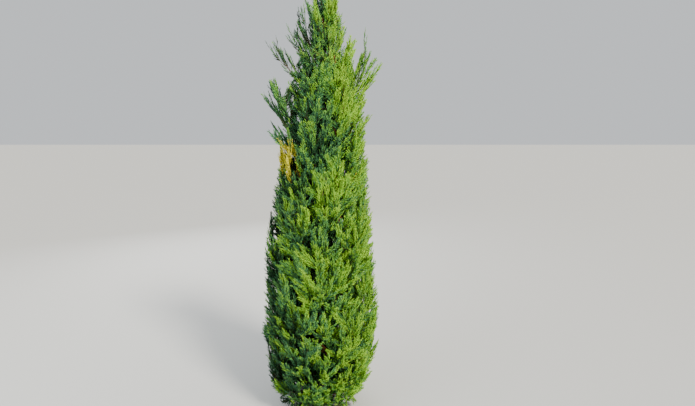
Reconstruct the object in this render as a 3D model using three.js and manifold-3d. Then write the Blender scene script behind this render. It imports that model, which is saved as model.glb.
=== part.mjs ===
// A young leyland cypress: a narrow, feathery column of foliage that hides its one straight trunk.
// Millimetres, +Z up. The origin is the centre of the flat cut under the trunk, at ground level. +X points to
// the flank that the sun lights, and +Y points away from the side that is seen first.
//
// The trunk runs whole from the ground to the foot of the leader. Limbs leave it by the golden angle and climb
// more steeply the higher they start. The lower limbs are bare boughs that end where their foliage begins, and
// the upper ones are green from the trunk. A mass of foliage is one stem that swells into a slim core, with flat
// toothed sprays that branch off it by one seeded rule. A spray keeps inside the crown, and nearer to its own
// limb than to any other.

import * as THREE from "three";
import { mergeVertices } from "three/addons/utils/BufferGeometryUtils.js";
import Module from "manifold-3d";

// Trunk: its height in wood, its radii, the flare of its root collar, and how far it leans and sways.
const TREE_HEIGHT = 2300;
const TRUNK_TOP = 1960;
const TRUNK_FOOT_RADIUS = 22;
const TRUNK_TOP_RADIUS = 3.6;
const FLARE_RADIUS = 15;
const FLARE_HEIGHT = 38;
const FLARE_LOBES = 5;
const FLARE_LOBE_DEPTH = 0.16;
const LEAN = new THREE.Vector2(62, 20);
const SWAY = new THREE.Vector2(8, 4);
const SWAY_LENGTH = 1300;
const TRUNK_SIDES = 12;
const TRUNK_STEPS = 13;
const TRUNK_STEP_CROWDING = 1.7;

// Crown: its half width at a few heights, the slack that single tips take beyond it, and its height off the
// ground.
const CROWN_PROFILE = [
  [0, 190],
  [120, 265],
  [420, 318],
  [900, 292],
  [1200, 252],
  [1550, 205],
  [1780, 168],
  [1930, 112],
  [2120, 88],
  [TREE_HEIGHT, 26],
];
const CROWN_SLACK = 1.08;
const GROUND_CLEARANCE = 6;

// Limbs: how many there are and where they start. They stand closer together lower down.
const LIMB_COUNT = 37;
const BOUGH_COUNT = 20;
const LOWEST_LIMB = 48;
const HIGHEST_LIMB = 1890;
const LIMB_CROWDING = 1.25;
const FIRST_AZIMUTH = 200;
const GOLDEN_ANGLE = 137.508;

// Limbs: how they climb, in degrees above level, and where the bend is between the foot and the tip.
const LOWEST_CLIMB = 17;
const HIGHEST_CLIMB = 79;
const CLIMB_CROWDING = 0.7;
const CLIMB_SPREAD = 6;
const KNEE_RUN_SHARE = 0.55;
const KNEE_RISE_SHARE = 0.3;

// Limbs: how thick they are and how much of the crown's half width they reach across. A few stray shoots near
// the top reach well past the crown, and lie a little flatter for it.
const LOWEST_LIMB_RADIUS = 8;
const HIGHEST_LIMB_RADIUS = 3;
const LIMB_TIP_RADIUS = 1.3;
const LIMB_REACH_SPREAD = 0.12;
const STRAY_REACH = new Map([
  [26, 1.8],
  [27, 1.4],
  [30, 2.5],
  [31, 1.6],
  [33, 1.7],
  [34, 1.5],
]);
const STRAY_DROP = 10;
const LEADER_FREEDOM = 1.2;

// Foliage: the share of a limb that is bare, and where the sprays leave it. Their places along the limb and
// their turns around it are two sequences that fill both evenly.
const BOUGH_BARE_SHARE = 0.24;
const UPPER_BARE_SHARE = 0.14;
const LOWEST_LIMB_SPRAYS = 8;
const HIGHEST_LIMB_SPRAYS = 6;
const LEADER_SPRAYS = 9;
const TWIG_STEP = 0.754878;
const TWIG_TURN = 0.56984;
const TWIG_TURN_SPREAD = 0.12;
const FIRST_TWIG_SHARE = 0.06;
const LAST_TWIG_SHARE = 0.96;

// Sprays: their length low and high on the tree and from the foot to the tip of a limb, their angle off the stem
// in degrees, how far they lift towards the light, and how far they roll away from facing out.
const LOWEST_SPRAY_LENGTH = 300;
const HIGHEST_SPRAY_LENGTH = 200;
const SPRAY_FOOT_SHARE = 1.1;
const SPRAY_TIP_SHARE = 0.75;
const SPRAY_LENGTH_SPREAD = 0.15;
const LOWEST_SPRAY_ANGLE = 50;
const HIGHEST_SPRAY_ANGLE = 26;
const SPRAY_ANGLE_SPREAD = 14;
const SPRAY_ROLL_SPREAD = 35;
const SPRAY_LIFT = 0.25;
const TIP_SPRAY_LEAFY_SHARE = 0.8;

// Sprays: one that doesn't fit is shortened and folded in towards its stem, up to a number of tries.
const SHORTEST_SPRAY = 75;
const SPRAY_SHRINK = 0.87;
const SPRAY_FOLD = 0.93;
const SPRAY_TRIES = 10;

// Spray outline, as shares of its length, and of its half width at the first and the last tooth.
const LONG_SPRAY = 250;
const LONG_SPRAY_TEETH = 3;
const SHORT_SPRAY_TEETH = 2;
const SPRAY_WIDTH_SHARE = 0.2;
const SPRAY_THICKNESS_SHARE = 0.02;
const THINNEST_SPRAY = 2;
const LAST_NOTCH_SHARE = 0.8;
const NOTCH_CROWDING = 0.9;
const TOOTH_RAKE_SHARE = 0.07;
const WIDEST_TOOTH = 1.25;
const NARROWEST_TOOTH = 0.7;
const WIDEST_NOTCH = 0.75;
const NARROWEST_NOTCH = 0.32;
const RIB_FOOT = 1.4;
const RIB_TIP = 0.4;

// Stem and core of a mass. The core is slimmer higher up, and leaves room for its neighbours.
const CORE_RADIUS = 19;
const LOWEST_CORE_SHARE = 1.15;
const HIGHEST_CORE_SHARE = 0.65;
const CORE_LENGTH_SHARE = 0.85;
const CORE_GAP_SHARE = 0.4;
const STEM_END_SHARE = 0.985;
const MASS_SIDES = 4;
const MASS_STEPS = 4;
const BOUGH_SIDES = 5;
const BOUGH_STEPS = 2;

// Clearances: between pieces that meet, between the foliage of two limbs, and between foliage and another limb.
const MEETING_GAP = 0.3;
const NEIGHBOUR_GAP = 5;
const LIMB_CLEARANCE = 15;
const LIMB_SAMPLES = 10;
const MERGE_DISTANCE = 1e-3;

const BARK = new THREE.MeshStandardMaterial({ color: 0x6e4e3a, roughness: 0.9, metalness: 0 });
const BOUGH_BARK = new THREE.MeshStandardMaterial({ color: 0x7a5a3c, roughness: 0.85, metalness: 0 });
const LIT_FOLIAGE = new THREE.MeshStandardMaterial({ color: 0x6f9c2c, roughness: 0.6, metalness: 0 });
const SHADED_FOLIAGE = new THREE.MeshStandardMaterial({ color: 0x39702f, roughness: 0.65, metalness: 0 });

const UP = new THREE.Vector3(0, 0, 1);
const wasm = await Module();
wasm.setup();

const radians = THREE.MathUtils.degToRad;
const lerp = THREE.MathUtils.lerp;

// A repeatable number from 0 to 1 for a limb, a twig on it and one of that twig's choices.
function chance(limb, twig, choice) {
  const wave = Math.sin(limb * 12.9898 + twig * 78.233 + choice * 37.719) * 43758.5453;
  return wave - Math.floor(wave);
}

// The same number spread evenly either side of nought, up to a limit.
function eitherWay(limit, limb, twig, choice) {
  return limit * (2 * chance(limb, twig, choice) - 1);
}

// A closed three.js geometry as a solid: its shared corners merged, and triangles with no area left out.
function solidFrom(geometry) {
  geometry.deleteAttribute("normal");
  geometry.deleteAttribute("uv");
  const merged = mergeVertices(geometry, MERGE_DISTANCE);
  const corners = merged.index.array;
  const kept = [];
  for (let i = 0; i < corners.length; i += 3) {
    const [a, b, c] = corners.slice(i, i + 3);
    if (a !== b && b !== c && c !== a) kept.push(a, b, c);
  }
  return new wasm.Manifold(
    new wasm.Mesh({
      numProp: 3,
      vertProperties: merged.getAttribute("position").array,
      triVerts: new Uint32Array(kept),
    }),
  );
}

function meshFrom(name, solid, material) {
  const { vertProperties, triVerts } = solid.getMesh();
  const geometry = new THREE.BufferGeometry();
  geometry.setAttribute("position", new THREE.BufferAttribute(vertProperties, 3));
  geometry.setIndex(new THREE.BufferAttribute(triVerts, 1));
  geometry.computeVertexNormals();
  const mesh = new THREE.Mesh(geometry, material);
  mesh.name = name;
  return mesh;
}

// The trunk's centre line leans a little and sways either side of that lean.
function trunkCentre(height) {
  const up = height / TREE_HEIGHT;
  const turn = (2 * Math.PI * height) / SWAY_LENGTH;
  return new THREE.Vector3(
    LEAN.x * up + SWAY.x * Math.sin(turn),
    LEAN.y * up + SWAY.y * (1 - Math.cos(turn)),
    height,
  );
}

function trunkRadius(height) {
  return lerp(TRUNK_FOOT_RADIUS, TRUNK_TOP_RADIUS, height / TRUNK_TOP);
}

// The trunk is turned on a lathe, then each ring is moved to the leaning centre line and lobed at the collar.
function trunkSolid(grown) {
  const profile = [new THREE.Vector2(0, 0)];
  for (let step = 0; step <= TRUNK_STEPS; step++) {
    const height = TRUNK_TOP * (step / TRUNK_STEPS) ** TRUNK_STEP_CROWDING;
    const flare = FLARE_RADIUS * Math.exp(-height / FLARE_HEIGHT);
    profile.push(new THREE.Vector2(trunkRadius(height) + flare + grown, height));
  }
  profile.push(new THREE.Vector2(0, TRUNK_TOP));
  const geometry = new THREE.LatheGeometry(profile, TRUNK_SIDES).rotateX(Math.PI / 2);
  const position = geometry.getAttribute("position");
  for (let i = 0; i < position.count; i++) {
    const [x, y, z] = [position.getX(i), -position.getY(i), position.getZ(i)];
    const fade = Math.exp(-z / FLARE_HEIGHT);
    const lobe = 1 + FLARE_LOBE_DEPTH * Math.cos(FLARE_LOBES * Math.atan2(y, x)) * fade;
    const centre = trunkCentre(z);
    position.setXYZ(i, centre.x + x * lobe, centre.y - y * lobe, z);
  }
  return solidFrom(geometry);
}

function crownRadius(height) {
  for (let i = 1; i < CROWN_PROFILE.length; i++) {
    const [low, lowRadius] = CROWN_PROFILE[i - 1];
    const [high, highRadius] = CROWN_PROFILE[i];
    if (height <= high) return lerp(lowRadius, highRadius, (height - low) / (high - low));
  }
  return 0;
}

// One limb as a curve that leaves the trunk flat, then climbs until its tip reaches the outside of the crown.
function makeLimb(index) {
  const up = index / (LIMB_COUNT - 1);
  const azimuth = radians(FIRST_AZIMUTH + index * GOLDEN_ANGLE);
  const outward = new THREE.Vector3(Math.cos(azimuth), Math.sin(azimuth), 0);
  const foot = trunkCentre(lerp(LOWEST_LIMB, HIGHEST_LIMB, up ** LIMB_CROWDING));
  const stray = STRAY_REACH.get(index) ?? 1;
  const usualClimb = lerp(LOWEST_CLIMB, HIGHEST_CLIMB, up ** CLIMB_CROWDING);
  const climb = radians(usualClimb + eitherWay(CLIMB_SPREAD, index, 0, 1) - (stray - 1) * STRAY_DROP);
  const reach = stray * (1 - LIMB_REACH_SPREAD * chance(index, 0, 2));
  let run = 0;
  while (run < reach * crownRadius(foot.z + run * Math.tan(climb))) run += 1;
  const rise = run * Math.tan(climb);
  const knee = foot.clone().addScaledVector(outward, run * KNEE_RUN_SHARE);
  knee.addScaledVector(UP, rise * KNEE_RISE_SHARE);
  const tip = foot.clone().addScaledVector(outward, run).addScaledVector(UP, rise);
  const curve = new THREE.QuadraticBezierCurve3(foot, knee, tip);
  const isBough = index < BOUGH_COUNT;
  return {
    index,
    up,
    freedom: stray,
    sideways: new THREE.Vector3(-Math.sin(azimuth), Math.cos(azimuth), 0),
    curve,
    rootRadius: lerp(LOWEST_LIMB_RADIUS, HIGHEST_LIMB_RADIUS, up),
    bareShare: isBough ? BOUGH_BARE_SHARE : UPPER_BARE_SHARE,
    stemFrom: isBough ? BOUGH_BARE_SHARE + MEETING_GAP / curve.getLength() : 0,
    sprays: Math.round(lerp(LOWEST_LIMB_SPRAYS, HIGHEST_LIMB_SPRAYS, up)),
  };
}

// The leader goes on up from the top of the trunk to the tip of the tree.
function makeLeader() {
  const foot = trunkCentre(TRUNK_TOP);
  const tip = trunkCentre(TREE_HEIGHT);
  const curve = new THREE.QuadraticBezierCurve3(foot, foot.clone().lerp(tip, 0.5), tip);
  return {
    index: LIMB_COUNT,
    up: 1,
    freedom: LEADER_FREEDOM,
    sideways: new THREE.Vector3(0, 1, 0),
    curve,
    rootRadius: TRUNK_TOP_RADIUS,
    bareShare: 0,
    stemFrom: MEETING_GAP / curve.getLength(),
    sprays: LEADER_SPRAYS,
  };
}

function limbRadius(limb, share) {
  return lerp(limb.rootRadius, LIMB_TIP_RADIUS, share);
}

// A cylinder bent so that its axis follows part of a limb's curve, with its own radius all along.
function bentAlong(limb, from, to, radiusAt, sides, steps) {
  const geometry = new THREE.CylinderGeometry(1, 1, 1, sides, steps);
  const position = geometry.getAttribute("position");
  for (let i = 0; i < position.count; i++) {
    const share = lerp(from, to, position.getY(i) + 0.5);
    const place = limb.curve.getPoint(share);
    const under = new THREE.Vector3().crossVectors(limb.sideways, limb.curve.getTangent(share));
    const radius = radiusAt(share);
    place.addScaledVector(limb.sideways, position.getX(i) * radius);
    place.addScaledVector(under, position.getZ(i) * radius);
    position.setXYZ(i, place.x, place.y, place.z);
  }
  return solidFrom(geometry);
}

// One edge of a spray from its root to its tip: each tooth's point, the notch after it, and the rib beside it.
function sprayEdge(length, side) {
  const teeth = length > LONG_SPRAY ? LONG_SPRAY_TEETH : SHORT_SPRAY_TEETH;
  const halfWidth = side * length * SPRAY_WIDTH_SHARE;
  const thickness = Math.max(THINNEST_SPRAY, length * SPRAY_THICKNESS_SHARE);
  const edge = [];
  for (let tooth = 1; tooth <= teeth; tooth++) {
    const done = tooth / teeth;
    const along = length * LAST_NOTCH_SHARE * done ** NOTCH_CROWDING;
    const pointAlong = along + length * TOOTH_RAKE_SHARE;
    edge.push({
      point: [halfWidth * lerp(WIDEST_TOOTH, NARROWEST_TOOTH, done), pointAlong, 0],
      notch: [halfWidth * lerp(WIDEST_NOTCH, NARROWEST_NOTCH, done), along, 0],
      rib: [0, along, thickness * lerp(RIB_FOOT, RIB_TIP, done)],
    });
  }
  return edge;
}

// One spray along +Y, pointed at its root and its tip: flat underneath, ribbed on top, with toothed edges.
function sprayGeometry(length) {
  const right = sprayEdge(length, 1);
  const left = sprayEdge(length, -1);
  const root = [0, 0, 0];
  const apex = [0, length, 0];
  const position = [];
  for (const [edge, isLeft] of [[right, false], [left, true]]) {
    const triangle = (a, b, c) => position.push(...(isLeft ? [a, c, b] : [a, b, c]).flat());
    let [notch, rib] = [root, root];
    for (const next of edge) {
      if (rib !== root) triangle(rib, notch, next.point);
      triangle(rib, next.point, next.rib);
      triangle(next.rib, next.point, next.notch);
      triangle(notch, next.notch, next.point);
      [notch, rib] = [next.notch, next.rib];
    }
    triangle(rib, notch, apex);
  }
  let [rightNotch, leftNotch] = [root, root];
  right.forEach((toRight, tooth) => {
    const toLeft = left[tooth];
    if (tooth > 0) position.push(...rightNotch, ...leftNotch, ...toRight.notch);
    position.push(...leftNotch, ...toLeft.notch, ...toRight.notch);
    [rightNotch, leftNotch] = [toRight.notch, toLeft.notch];
  });
  position.push(...rightNotch, ...leftNotch, ...apex);
  const geometry = new THREE.BufferGeometry();
  geometry.setAttribute("position", new THREE.Float32BufferAttribute(position, 3));
  return geometry;
}

// The frame of a spray that leaves its stem at a share of its length: its root, its rib and its roll.
function sprayFrame(limb, twig, share, angle) {
  const root = limb.curve.getPoint(share);
  const along = limb.curve.getTangent(share);
  const upper = new THREE.Vector3().crossVectors(along, limb.sideways);
  const turn = 0.5 + twig * TWIG_TURN + eitherWay(TWIG_TURN_SPREAD / 2, limb.index, twig, 3);
  const around = 2 * Math.PI * turn;
  const rib = along.clone().multiplyScalar(Math.cos(angle));
  rib.addScaledVector(limb.sideways, Math.sin(angle) * Math.cos(around));
  rib.addScaledVector(upper, Math.sin(angle) * Math.sin(around));
  rib.addScaledVector(UP, SPRAY_LIFT * Math.sin(angle)).normalize();
  const outward = root.clone().sub(trunkCentre(root.z));
  outward.setZ(MERGE_DISTANCE);
  const face = outward.addScaledVector(rib, -outward.dot(rib)).normalize();
  face.applyAxisAngle(rib, radians(eitherWay(SPRAY_ROLL_SPREAD, limb.index, twig, 4)));
  const across = new THREE.Vector3().crossVectors(rib, face);
  return new THREE.Matrix4().makeBasis(across, rib, face).setPosition(root);
}

const limbs = [];
for (let index = 0; index < LIMB_COUNT; index++) limbs.push(makeLimb(index));
limbs.push(makeLeader());

// The wood as lines, to tell which limb a point is nearest to. The trunk is the last of them.
const lines = limbs.map((limb) => limb.curve.getPoints(LIMB_SAMPLES));
const trunkLine = [];
for (let i = 0; i <= LIMB_SAMPLES; i++) trunkLine.push(trunkCentre((TRUNK_TOP * i) / LIMB_SAMPLES));
lines.push(trunkLine);

function distanceToLine(point, line) {
  const nearest = new THREE.Vector3();
  const piece = new THREE.Line3();
  let least = Infinity;
  for (let i = 1; i < line.length; i++) {
    piece.set(line[i - 1], line[i]).closestPointToPoint(point, true, nearest);
    least = Math.min(least, nearest.distanceTo(point));
  }
  return least;
}

function distanceToOthers(limb, point) {
  let least = Infinity;
  lines.forEach((line, index) => {
    if (index !== limb.index) least = Math.min(least, distanceToLine(point, line));
  });
  return least;
}

// A point belongs to a limb's space where it is inside the crown, off the ground and nearest to that limb.
function inSpace(limb, point) {
  const centre = trunkCentre(point.z);
  const out = Math.hypot(point.x - centre.x, point.y - centre.y);
  if (point.z < GROUND_CLEARANCE || point.z > TREE_HEIGHT) return false;
  if (out > crownRadius(point.z) * CROWN_SLACK * limb.freedom) return false;
  const others = distanceToOthers(limb, point);
  return others > LIMB_CLEARANCE && others > distanceToLine(point, lines[limb.index]) + NEIGHBOUR_GAP;
}

// Every corner of a spray but its root, which is sunk in its own stem, has to lie in the limb's space.
function staysInSpace(limb, geometry, root) {
  const position = geometry.getAttribute("position");
  const corner = new THREE.Vector3();
  for (let i = 0; i < position.count; i++) {
    corner.fromBufferAttribute(position, i);
    if (corner.distanceTo(root) > 1 && !inSpace(limb, corner)) return false;
  }
  return true;
}

// A spray that fits its limb's space, shortened and folded in a few times if it has to be, or nothing.
function fittedSpray(limb, twig, share, fullAngle, fullLength) {
  const root = limb.curve.getPoint(share);
  let [angle, length] = [fullAngle, fullLength];
  for (let attempt = 0; attempt < SPRAY_TRIES && length >= SHORTEST_SPRAY; attempt++) {
    const geometry = sprayGeometry(length).applyMatrix4(sprayFrame(limb, twig, share, angle));
    if (staysInSpace(limb, geometry, root)) return solidFrom(geometry);
    length *= SPRAY_SHRINK;
    angle *= SPRAY_FOLD;
  }
  return null;
}

// The stem of a mass swells into its core where the foliage starts, as far as its neighbours leave room.
function stemRadius(limb, share) {
  const coreLength = CORE_LENGTH_SHARE * (1 - limb.bareShare);
  const done = THREE.MathUtils.clamp((share - limb.bareShare) / coreLength, 0, 1);
  const room = CORE_GAP_SHARE * distanceToOthers(limb, limb.curve.getPoint(share));
  const fullest = CORE_RADIUS * lerp(LOWEST_CORE_SHARE, HIGHEST_CORE_SHARE, limb.up);
  return Math.max(limbRadius(limb, share), Math.min(fullest, room) * Math.sin(Math.PI * done));
}

// A mass of foliage: its stem and core, the sprays that leave it by the rule, and one that carries on at its tip.
function foliageMass(limb) {
  const length = limb.curve.getLength();
  const leafy = 1 - limb.bareShare;
  const radiusAt = (share) => stemRadius(limb, share);
  let mass = bentAlong(limb, limb.stemFrom, STEM_END_SHARE, radiusAt, MASS_SIDES, MASS_STEPS);
  const longest = lerp(LOWEST_SPRAY_LENGTH, HIGHEST_SPRAY_LENGTH, limb.up);
  const usualAngle = lerp(LOWEST_SPRAY_ANGLE, HIGHEST_SPRAY_ANGLE, limb.up);
  for (let twig = 0; twig < limb.sprays; twig++) {
    const place = (0.5 + twig * TWIG_STEP) % 1;
    const share = limb.bareShare + leafy * lerp(FIRST_TWIG_SHARE, LAST_TWIG_SHARE, place);
    const angle = radians(usualAngle + eitherWay(SPRAY_ANGLE_SPREAD, limb.index, twig, 5));
    const vigour = 1 + eitherWay(SPRAY_LENGTH_SPREAD, limb.index, twig, 6);
    const full = longest * lerp(SPRAY_FOOT_SHARE, SPRAY_TIP_SHARE, place) * vigour;
    const spray = fittedSpray(limb, twig, share, angle, full);
    if (spray) mass = mass.add(spray);
  }
  const tipLength = Math.min(longest * SPRAY_TIP_SHARE, length * leafy * TIP_SPRAY_LEAFY_SHARE);
  const tipSpray = fittedSpray(limb, limb.sprays, 1 - tipLength / length, 0, tipLength);
  return tipSpray ? mass.add(tipSpray) : mass;
}

function boughSolid(limb) {
  const radiusAt = (share) => limbRadius(limb, share);
  return bentAlong(limb, 0, limb.bareShare, radiusAt, BOUGH_SIDES, BOUGH_STEPS);
}

// Each limb's wood and foliage are cut clear of the trunk that they leave.
const trunkWithGap = trunkSolid(MEETING_GAP);
const tree = new THREE.Group();
tree.name = "leyland_cypress";
tree.add(meshFrom("trunk", trunkSolid(0), BARK));
for (const limb of limbs) {
  const number = String(limb.index + 1).padStart(2, "0");
  if (limb.index < BOUGH_COUNT) {
    tree.add(meshFrom(`bough_${number}`, boughSolid(limb).subtract(trunkWithGap), BOUGH_BARK));
  }
  const name = limb.index < LIMB_COUNT ? `foliage_${number}` : "leader_foliage";
  const isLit = limb.curve.getPoint(1).x > limb.curve.getPoint(0).x;
  const mass = foliageMass(limb).subtract(trunkWithGap);
  tree.add(meshFrom(name, mass, isLit ? LIT_FOLIAGE : SHADED_FOLIAGE));
}

export default tree;
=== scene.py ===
# %% [markdown]
# # A young leyland cypress
# The tree is a narrow column of feathery foliage, 2.3 m tall, that hides one straight trunk. The packed
# model holds its plain solids: a trunk, twenty boughs and the masses of foliage round them. They could be
# given materials as they are, but a tree is judged by its leaves, so this lesson grows finer wood and
# foliage along the same limbs, by the same rule, and hides the solids behind it.

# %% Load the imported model
import math
from collections import namedtuple
from itertools import product

import bmesh
import bpy
import numpy as np
from mathutils import Matrix, Vector, noise


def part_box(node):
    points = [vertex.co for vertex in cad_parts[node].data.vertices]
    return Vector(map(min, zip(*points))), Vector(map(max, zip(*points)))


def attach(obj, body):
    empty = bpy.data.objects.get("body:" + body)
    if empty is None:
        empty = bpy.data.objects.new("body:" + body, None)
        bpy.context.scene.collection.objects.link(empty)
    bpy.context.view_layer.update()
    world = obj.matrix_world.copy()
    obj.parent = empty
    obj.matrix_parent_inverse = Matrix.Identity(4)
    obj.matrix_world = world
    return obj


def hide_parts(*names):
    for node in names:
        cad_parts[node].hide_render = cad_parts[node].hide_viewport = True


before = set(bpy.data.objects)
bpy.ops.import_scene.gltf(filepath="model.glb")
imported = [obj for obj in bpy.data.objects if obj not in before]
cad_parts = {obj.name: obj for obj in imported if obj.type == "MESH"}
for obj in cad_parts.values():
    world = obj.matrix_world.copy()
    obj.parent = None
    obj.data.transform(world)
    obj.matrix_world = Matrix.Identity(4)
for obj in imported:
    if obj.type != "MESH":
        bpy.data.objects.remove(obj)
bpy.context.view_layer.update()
print("packed model:", len(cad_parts), "nodes")

# %% [markdown]
# ## The camera
# The tree was seen standing up, from 2.4 m away, a little to its right and with the camera tilted down. Its
# tip ran out of the upper edge of the picture. A camera could be aimed with a constraint, but a plain place
# and tilt say the same and are easy to read. The lens is worked out from the width of the picture in
# pixels.

# %% Place the camera
PICTURE_WIDTH_PX = 695
FOCAL_LENGTH_PX = 468
SENSOR_WIDTH_MM = 36.0
CAMERA_PLACE = (0.165, -2.44, 1.65)
CAMERA_TILT_DEG = -11.3

camera_data = bpy.data.cameras.new("camera")
camera_data.sensor_width = SENSOR_WIDTH_MM
camera_data.lens = SENSOR_WIDTH_MM * FOCAL_LENGTH_PX / PICTURE_WIDTH_PX
camera = bpy.data.objects.new("camera", camera_data)
camera.location = CAMERA_PLACE
camera.rotation_euler = (math.radians(90 + CAMERA_TILT_DEG), 0, 0)
bpy.context.scene.collection.objects.link(camera)
bpy.context.scene.camera = camera
print("lens", round(camera_data.lens, 2), "mm")

# %% [markdown]
# ## The rule of growth
# A conifer repeats one rule. The trunk leans and sways a little, limbs leave it by the golden angle, and
# twigs leave the limbs in the same steady way. They could be placed one by one, but there are thousands, so
# the rule is written as functions on arrays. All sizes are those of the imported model, in metres.

# %% Tell the trunk's line and the crown's outline
TREE_HEIGHT = 2.3
TRUNK_TOP = 1.96
TRUNK_FOOT_RADIUS = 0.022
TRUNK_TOP_RADIUS = 0.0036
LEAN = (0.062, 0.020)
SWAY = (0.008, 0.004)
SWAY_LENGTH = 1.3
CROWN_HEIGHTS = (0.0, 0.12, 0.42, 0.9, 1.2, 1.55, 1.78, 1.93, 2.12, TREE_HEIGHT)
CROWN_RADII = (0.19, 0.265, 0.318, 0.292, 0.252, 0.205, 0.168, 0.112, 0.088, 0.026)
UP = np.array([0.0, 0.0, 1.0])
LEVEL = np.array([1.0, 1.0, 0.0])


def lerp(low, high, share):
    """A value at this share of the way from one to another."""
    return low + (high - low) * share


def unit(vectors):
    """Vectors of the same direction and length one."""
    return vectors / np.linalg.norm(vectors, axis=-1, keepdims=True)


def level_way(azimuth):
    """The level directions at these angles from east."""
    return np.stack([np.cos(azimuth), np.sin(azimuth), 0 * azimuth], -1)


def trunk_centre(height):
    """Points on the trunk's centre line at these heights."""
    height = np.asarray(height, float)
    up = height / TREE_HEIGHT
    turn = 2 * np.pi * height / SWAY_LENGTH
    east = LEAN[0] * up + SWAY[0] * np.sin(turn)
    north = LEAN[1] * up + SWAY[1] * (1 - np.cos(turn))
    return np.stack([east, north, height], -1)


def off_trunk(points):
    """The level way and distance from the trunk's centre line out to points."""
    return (points - trunk_centre(points[:, 2])) * LEVEL


def crown_radius(height):
    """Half the crown's width at these heights, and nothing above its top."""
    return np.interp(height, CROWN_HEIGHTS, CROWN_RADII, right=0.0)


print("crown half widths at 0.5, 1.0, 1.5 and 2.0 m:", crown_radius([0.5, 1.0, 1.5, 2.0]).round(3))

# %% [markdown]
# ## Chance
# No two twigs of a tree are alike. A random generator would do, but it deals a different hand as soon as
# one twig is added before the others. So most choices come from a fixed wave of three numbers: the limb's,
# the twig's and the choice's own. Each kind of choice has its name here, so that no two share a number.

# %% Number the choices that chance makes
CHANCE_WAVES = (12.9898, 78.233, 37.719)
CHANCE_SCALE = 43758.5453
BY_CLIMB, BY_REACH, BY_TURN, BY_ROLL, BY_ANGLE, BY_LENGTH, BY_PLUME_LUCK, BY_DEATH = range(1, 9)
BY_PLUME_ANGLE, BY_PLUME_LENGTH, BY_PLUME_TILT, BY_PLUME_ROLL = range(11, 15)
BY_BRANCHLET_LUCK, BY_FILL_PLACE, BY_ADDED_PLACE = 21, 31, 33
BY_SPIRE_FOOT, BY_SPIRE_LEAN, BY_SPIRE_LENGTH = range(41, 44)


def chance(limb, twig, choice):
    """A repeatable number from 0 to 1 for a limb, a twig on it and one of that twig's choices."""
    phase = limb * CHANCE_WAVES[0] + twig * CHANCE_WAVES[1] + choice * CHANCE_WAVES[2]
    wave = np.sin(phase) * CHANCE_SCALE
    return wave - np.floor(wave)


def either_way(limit, limb, twig, choice):
    """The same number spread evenly either side of nought, up to a limit."""
    return limit * (2 * chance(limb, twig, choice) - 1)


print("four twigs turn by", either_way(1, 1, np.arange(4), BY_TURN).round(2), "of their limit")

# %% [markdown]
# ## The limbs
# Each limb climbs until its tip meets the outside of the crown, flat near the ground and steep near the
# top. A few strays reach past it, three slender ones stand beside the spire, and the leader carries the
# tree on above its trunk. Curve objects could hold them, but as rows of one table, with the foot, knee and
# tip of a bent line and what its twigs need to know, all limbs can be asked at once where they run.

# %% Set out the limbs
LIMB_COUNT = 37
LEADER = LIMB_COUNT
BOUGH_COUNT = 20
LIMB_HEIGHTS = (0.048, 1.89)
LIMB_CROWDING = 1.25
LIMB_RADII = (0.008, 0.003)
FIRST_AZIMUTH_DEG = 200
GOLDEN_ANGLE_DEG = 137.508
CLIMB_DEG = (17, 79)
CLIMB_CROWDING = 0.7
CLIMB_SPREAD_DEG = 6
KNEE_RUN_SHARE = 0.55
KNEE_RISE_SHARE = 0.3
REACH_SPREAD = 0.12
RUN_STEP = 0.001
STRAY_REACH = {26: 1.8, 27: 1.4, 30: 2.5, 31: 1.6, 33: 1.7, 34: 1.5}
STRAY_DROP_DEG = 10
FIRST_SLIM_STRAY = 31
SLIM_STRAY = 0.62
# height on the trunk, azimuth in degrees, run, rise and freedom from the crown
SLENDER_STRAYS = (
    (1.70, 188, 0.277, 0.27, 3.6),
    (1.80, 204, 0.175, 0.215, 2.5),
    (1.86, 160, 0.157, 0.23, 2.3),
)
SLENDER_STRAY = 0.68
LEADER_FREEDOM = 1.2
BOUGH_BARE_SHARE = 0.24
UPPER_BARE_SHARE = 0.14


def limb_row(foot, knee, tip, outward, *traits):
    """One row of the table: a bent line, the way across it, and the limb's traits."""
    return [*foot, *knee, *tip, *np.cross(UP, outward), *traits]


def grow_outward(height, azimuth_deg, run, rise, *traits):
    """The row of a limb that leaves the trunk at a height and ends this far out and up."""
    foot = trunk_centre(height)
    outward = level_way(math.radians(azimuth_deg))
    knee = foot + outward * run * KNEE_RUN_SHARE + UP * rise * KNEE_RISE_SHARE
    return limb_row(foot, knee, foot + outward * run + UP * rise, outward, *traits)


def grow_limb(index):
    """The row of one of the limbs that follow each other up the trunk by the golden angle."""
    up = index / (LIMB_COUNT - 1)
    height = lerp(*LIMB_HEIGHTS, up**LIMB_CROWDING)
    stray = STRAY_REACH.get(index, 1.0)
    usual_climb = lerp(*CLIMB_DEG, up**CLIMB_CROWDING)
    climb = usual_climb + either_way(CLIMB_SPREAD_DEG, index, 0, BY_CLIMB) - (stray - 1) * STRAY_DROP_DEG
    slope = math.tan(math.radians(climb))
    reach = stray * (1 - REACH_SPREAD * chance(index, 0, BY_REACH))
    run = 0.0
    while run < reach * crown_radius(height + run * slope):
        run += RUN_STEP
    slimness = SLIM_STRAY if stray > 1 and index >= FIRST_SLIM_STRAY else 1.0
    bare = BOUGH_BARE_SHARE if index < BOUGH_COUNT else UPPER_BARE_SHARE
    radius = lerp(*LIMB_RADII, up)
    azimuth_deg = FIRST_AZIMUTH_DEG + index * GOLDEN_ANGLE_DEG
    return grow_outward(height, azimuth_deg, run, run * slope, up, stray, slimness, radius, bare)


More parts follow.
